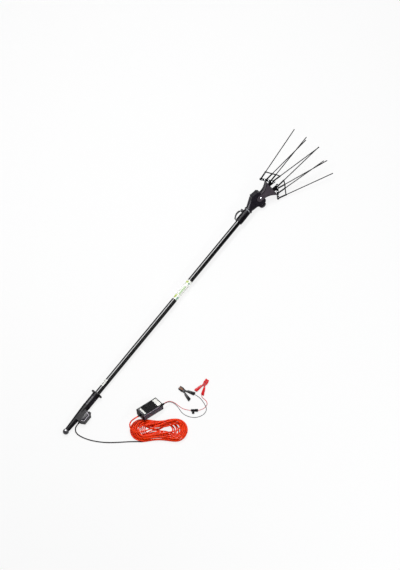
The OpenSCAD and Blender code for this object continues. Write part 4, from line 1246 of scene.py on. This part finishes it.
@dataclass
class Fittings:
    """The plug between the two cords and the fuse holder in the red lead."""

    plug_y: float = -67.4
    plug_z: float = 4.0
    plug: Outline = (
        (-129, 3.2), (-128, 3.5), (-124, 3.5), (-123.6, 3.1), (-122.6, 3.1), (-122.2, 3.5), (-120, 3.5),
        (-119.6, 3.1), (-118.6, 3.1), (-118.2, 3.5), (-113, 3.5), (-112, 4), (-104, 4), (-103.6, 3.6),
        (-102.6, 3.6), (-102.2, 4), (-96, 4), (-95, 3.7))
    fuse_spot: Triple = (547.0, -487.0, 9.0)
    fuse: Outline = (
        (0, 2.4), (1.5, 6.4), (3.5, 7.5), (25, 7.5), (26, 7.5), (27, 9), (28.6, 9), (29, 8.4), (30, 8.4),
        (30.4, 9), (32, 9), (32.4, 8.4), (33.4, 8.4), (33.8, 9), (35.4, 9), (35.8, 8.4), (36.8, 8.4),
        (37.2, 9), (40, 9), (42, 7.2), (43, 2.4))

    def build(self) -> None:
        """Turns the plug and the fuse holder, and models the holder's strap."""
        place = hank_place(self.plug_z) @ shift(0, self.plug_y, 0)
        plug = settle(round_bar(self.plug), "cord_join_plug", place, BLACK_NYLON, smooth_deg=TURNED_DEG)
        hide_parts("join_plug")
        here = floor_place(*self.fuse_spot, HANK_TURN)
        fuse = settle(round_bar(self.fuse), "fuse_body", here, BLACK_NYLON, smooth_deg=TURNED_DEG)
        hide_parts("fuse_holder", "fuse_cap")
        settle(plate((15, 18, 11), (14, -11, -2.5), 2.6), "fuse_strap", here, BLACK_NYLON)

    def dress(self) -> None:
        """Gives the solids behind them the same finish."""
        dress(BLACK_NYLON, "join_plug", "fuse_holder", "fuse_cap")


@dataclass
class Clamp:
    """One battery clamp: jaw plates with teeth, bare copper or dipped, and dipped handles.

    Its spot is the place of its pin ahead of the ball and to the left of it, and its turn. The jaws point
    along -X.
    """

    colour: str
    dip: Finish
    plating: Finish
    spot: Triple
    height: float = 15.0
    teeth: int = 7
    tip: Outline = ((-5, 6.2), (-33.2, 4.6), (-35.5, 6.5), (-34, 10.6), (-15, 12.4), (-5, 11))
    sleeve: Outline = ((15, 4.4), (59.5, 13.8), (60.5, 16), (60.5, 30.5), (57.5, 32.6), (15, 16.4))
    rib_xs: Row = (40, 45, 50)
    rivet: Outline = ((0, 3.4), (0.9, 3.4), (1.5, 2.6), (1.8, 1.2))

    def jaw_outline(self) -> list[Pair]:
        """Returns the outline of a plate along the bite, with teeth."""
        outline = [(-8, 4.4), (-32.5, 4.4), (-33.8, 3.0)]
        step = 24 / self.teeth
        for k in range(self.teeth):
            outline += [(-33.5 + k * step, 0.7), (-33.5 + (k + 0.5) * step, 2.4)]
        return [*outline, (-9, 0.9), (-7, 2.5)]

    def grip(self) -> Piece:
        """Models the dipped handle of the arm, with rounded edges and three ribs, in the clamp's frame."""
        sleeve = slab(self.sleeve, 0.1, self.height + 0.5, 0.2)
        finish_with(sleeve, "BEVEL", width=2.2 * MM, segments=3, limit_method="ANGLE")
        ribs = []
        for x in self.rib_xs:
            on = x - self.rib_xs[0]
            rib = plate((2.2, 16 + on * 0.16, self.height - 2), (x, 0, 0), 1.0)
            ribs.append(moved(rib, shift(0, 17.8 + on * 0.32, (self.height + 1.4) / 2)))
        return join([sleeve, *ribs])

    def build(self) -> None:
        """Models the plates, the tips, the handles and the rivet; the jaw mirrors the arm."""
        x, y, turn = self.spot
        place = floor_place(x, y, 0, turn)
        for part, body in (("arm", "pole"), ("jaw", f"{self.colour}_jaw")):
            bite = slab(self.jaw_outline(), self.height - 0.2, self.height + 0.7, 0.25)
            tip = slab(self.tip, 0.8, self.height + 0.9, 0.6)
            grip = self.grip()
            if part == "jaw":
                for piece in (bite, tip, grip):
                    piece.data.transform(MIRROR)
            settle(bite, f"{self.colour}_{part}_bite", place, self.plating, body)
            settle(tip, f"{self.colour}_{part}_tip", place, self.dip, body, DIPPED_DEG)
            settle(grip, f"{self.colour}_{part}_grip", place, self.dip, body, DIPPED_DEG)
        upright = place @ shift(0, 0, self.height) @ UPRIGHT
        settle(round_bar(self.rivet, 24), f"{self.colour}_clamp_rivet", upright, ZINC_STEEL)

    def dress(self) -> None:
        """Gives the arms and the pin their finishes."""
        dress(self.dip, f"{self.colour}_clamp_arm", f"{self.colour}_clamp_jaw")
        dress(ZINC_STEEL, f"{self.colour}_clamp_pin")


def main() -> None:
    """Builds the scene piece by piece."""
    logging.basicConfig(level=logging.INFO, format="%(name)s: %(message)s")
    Studio().build()
    clamps = (Clamp("red", RED_DIP, RED_DIP, (720, -452, 186)),
              Clamp("black", BLACK_DIP, COPPER, (616, -383, -90)))
    for part in (Box(), Fittings(), *clamps):
        part.build()
        part.dress()
    Cords().build()
    for part in (Pole(), Handle(), Lock(), Head(), Combs()):
        part.build()
        part.dress()


if __name__ == "__main__":
    main()
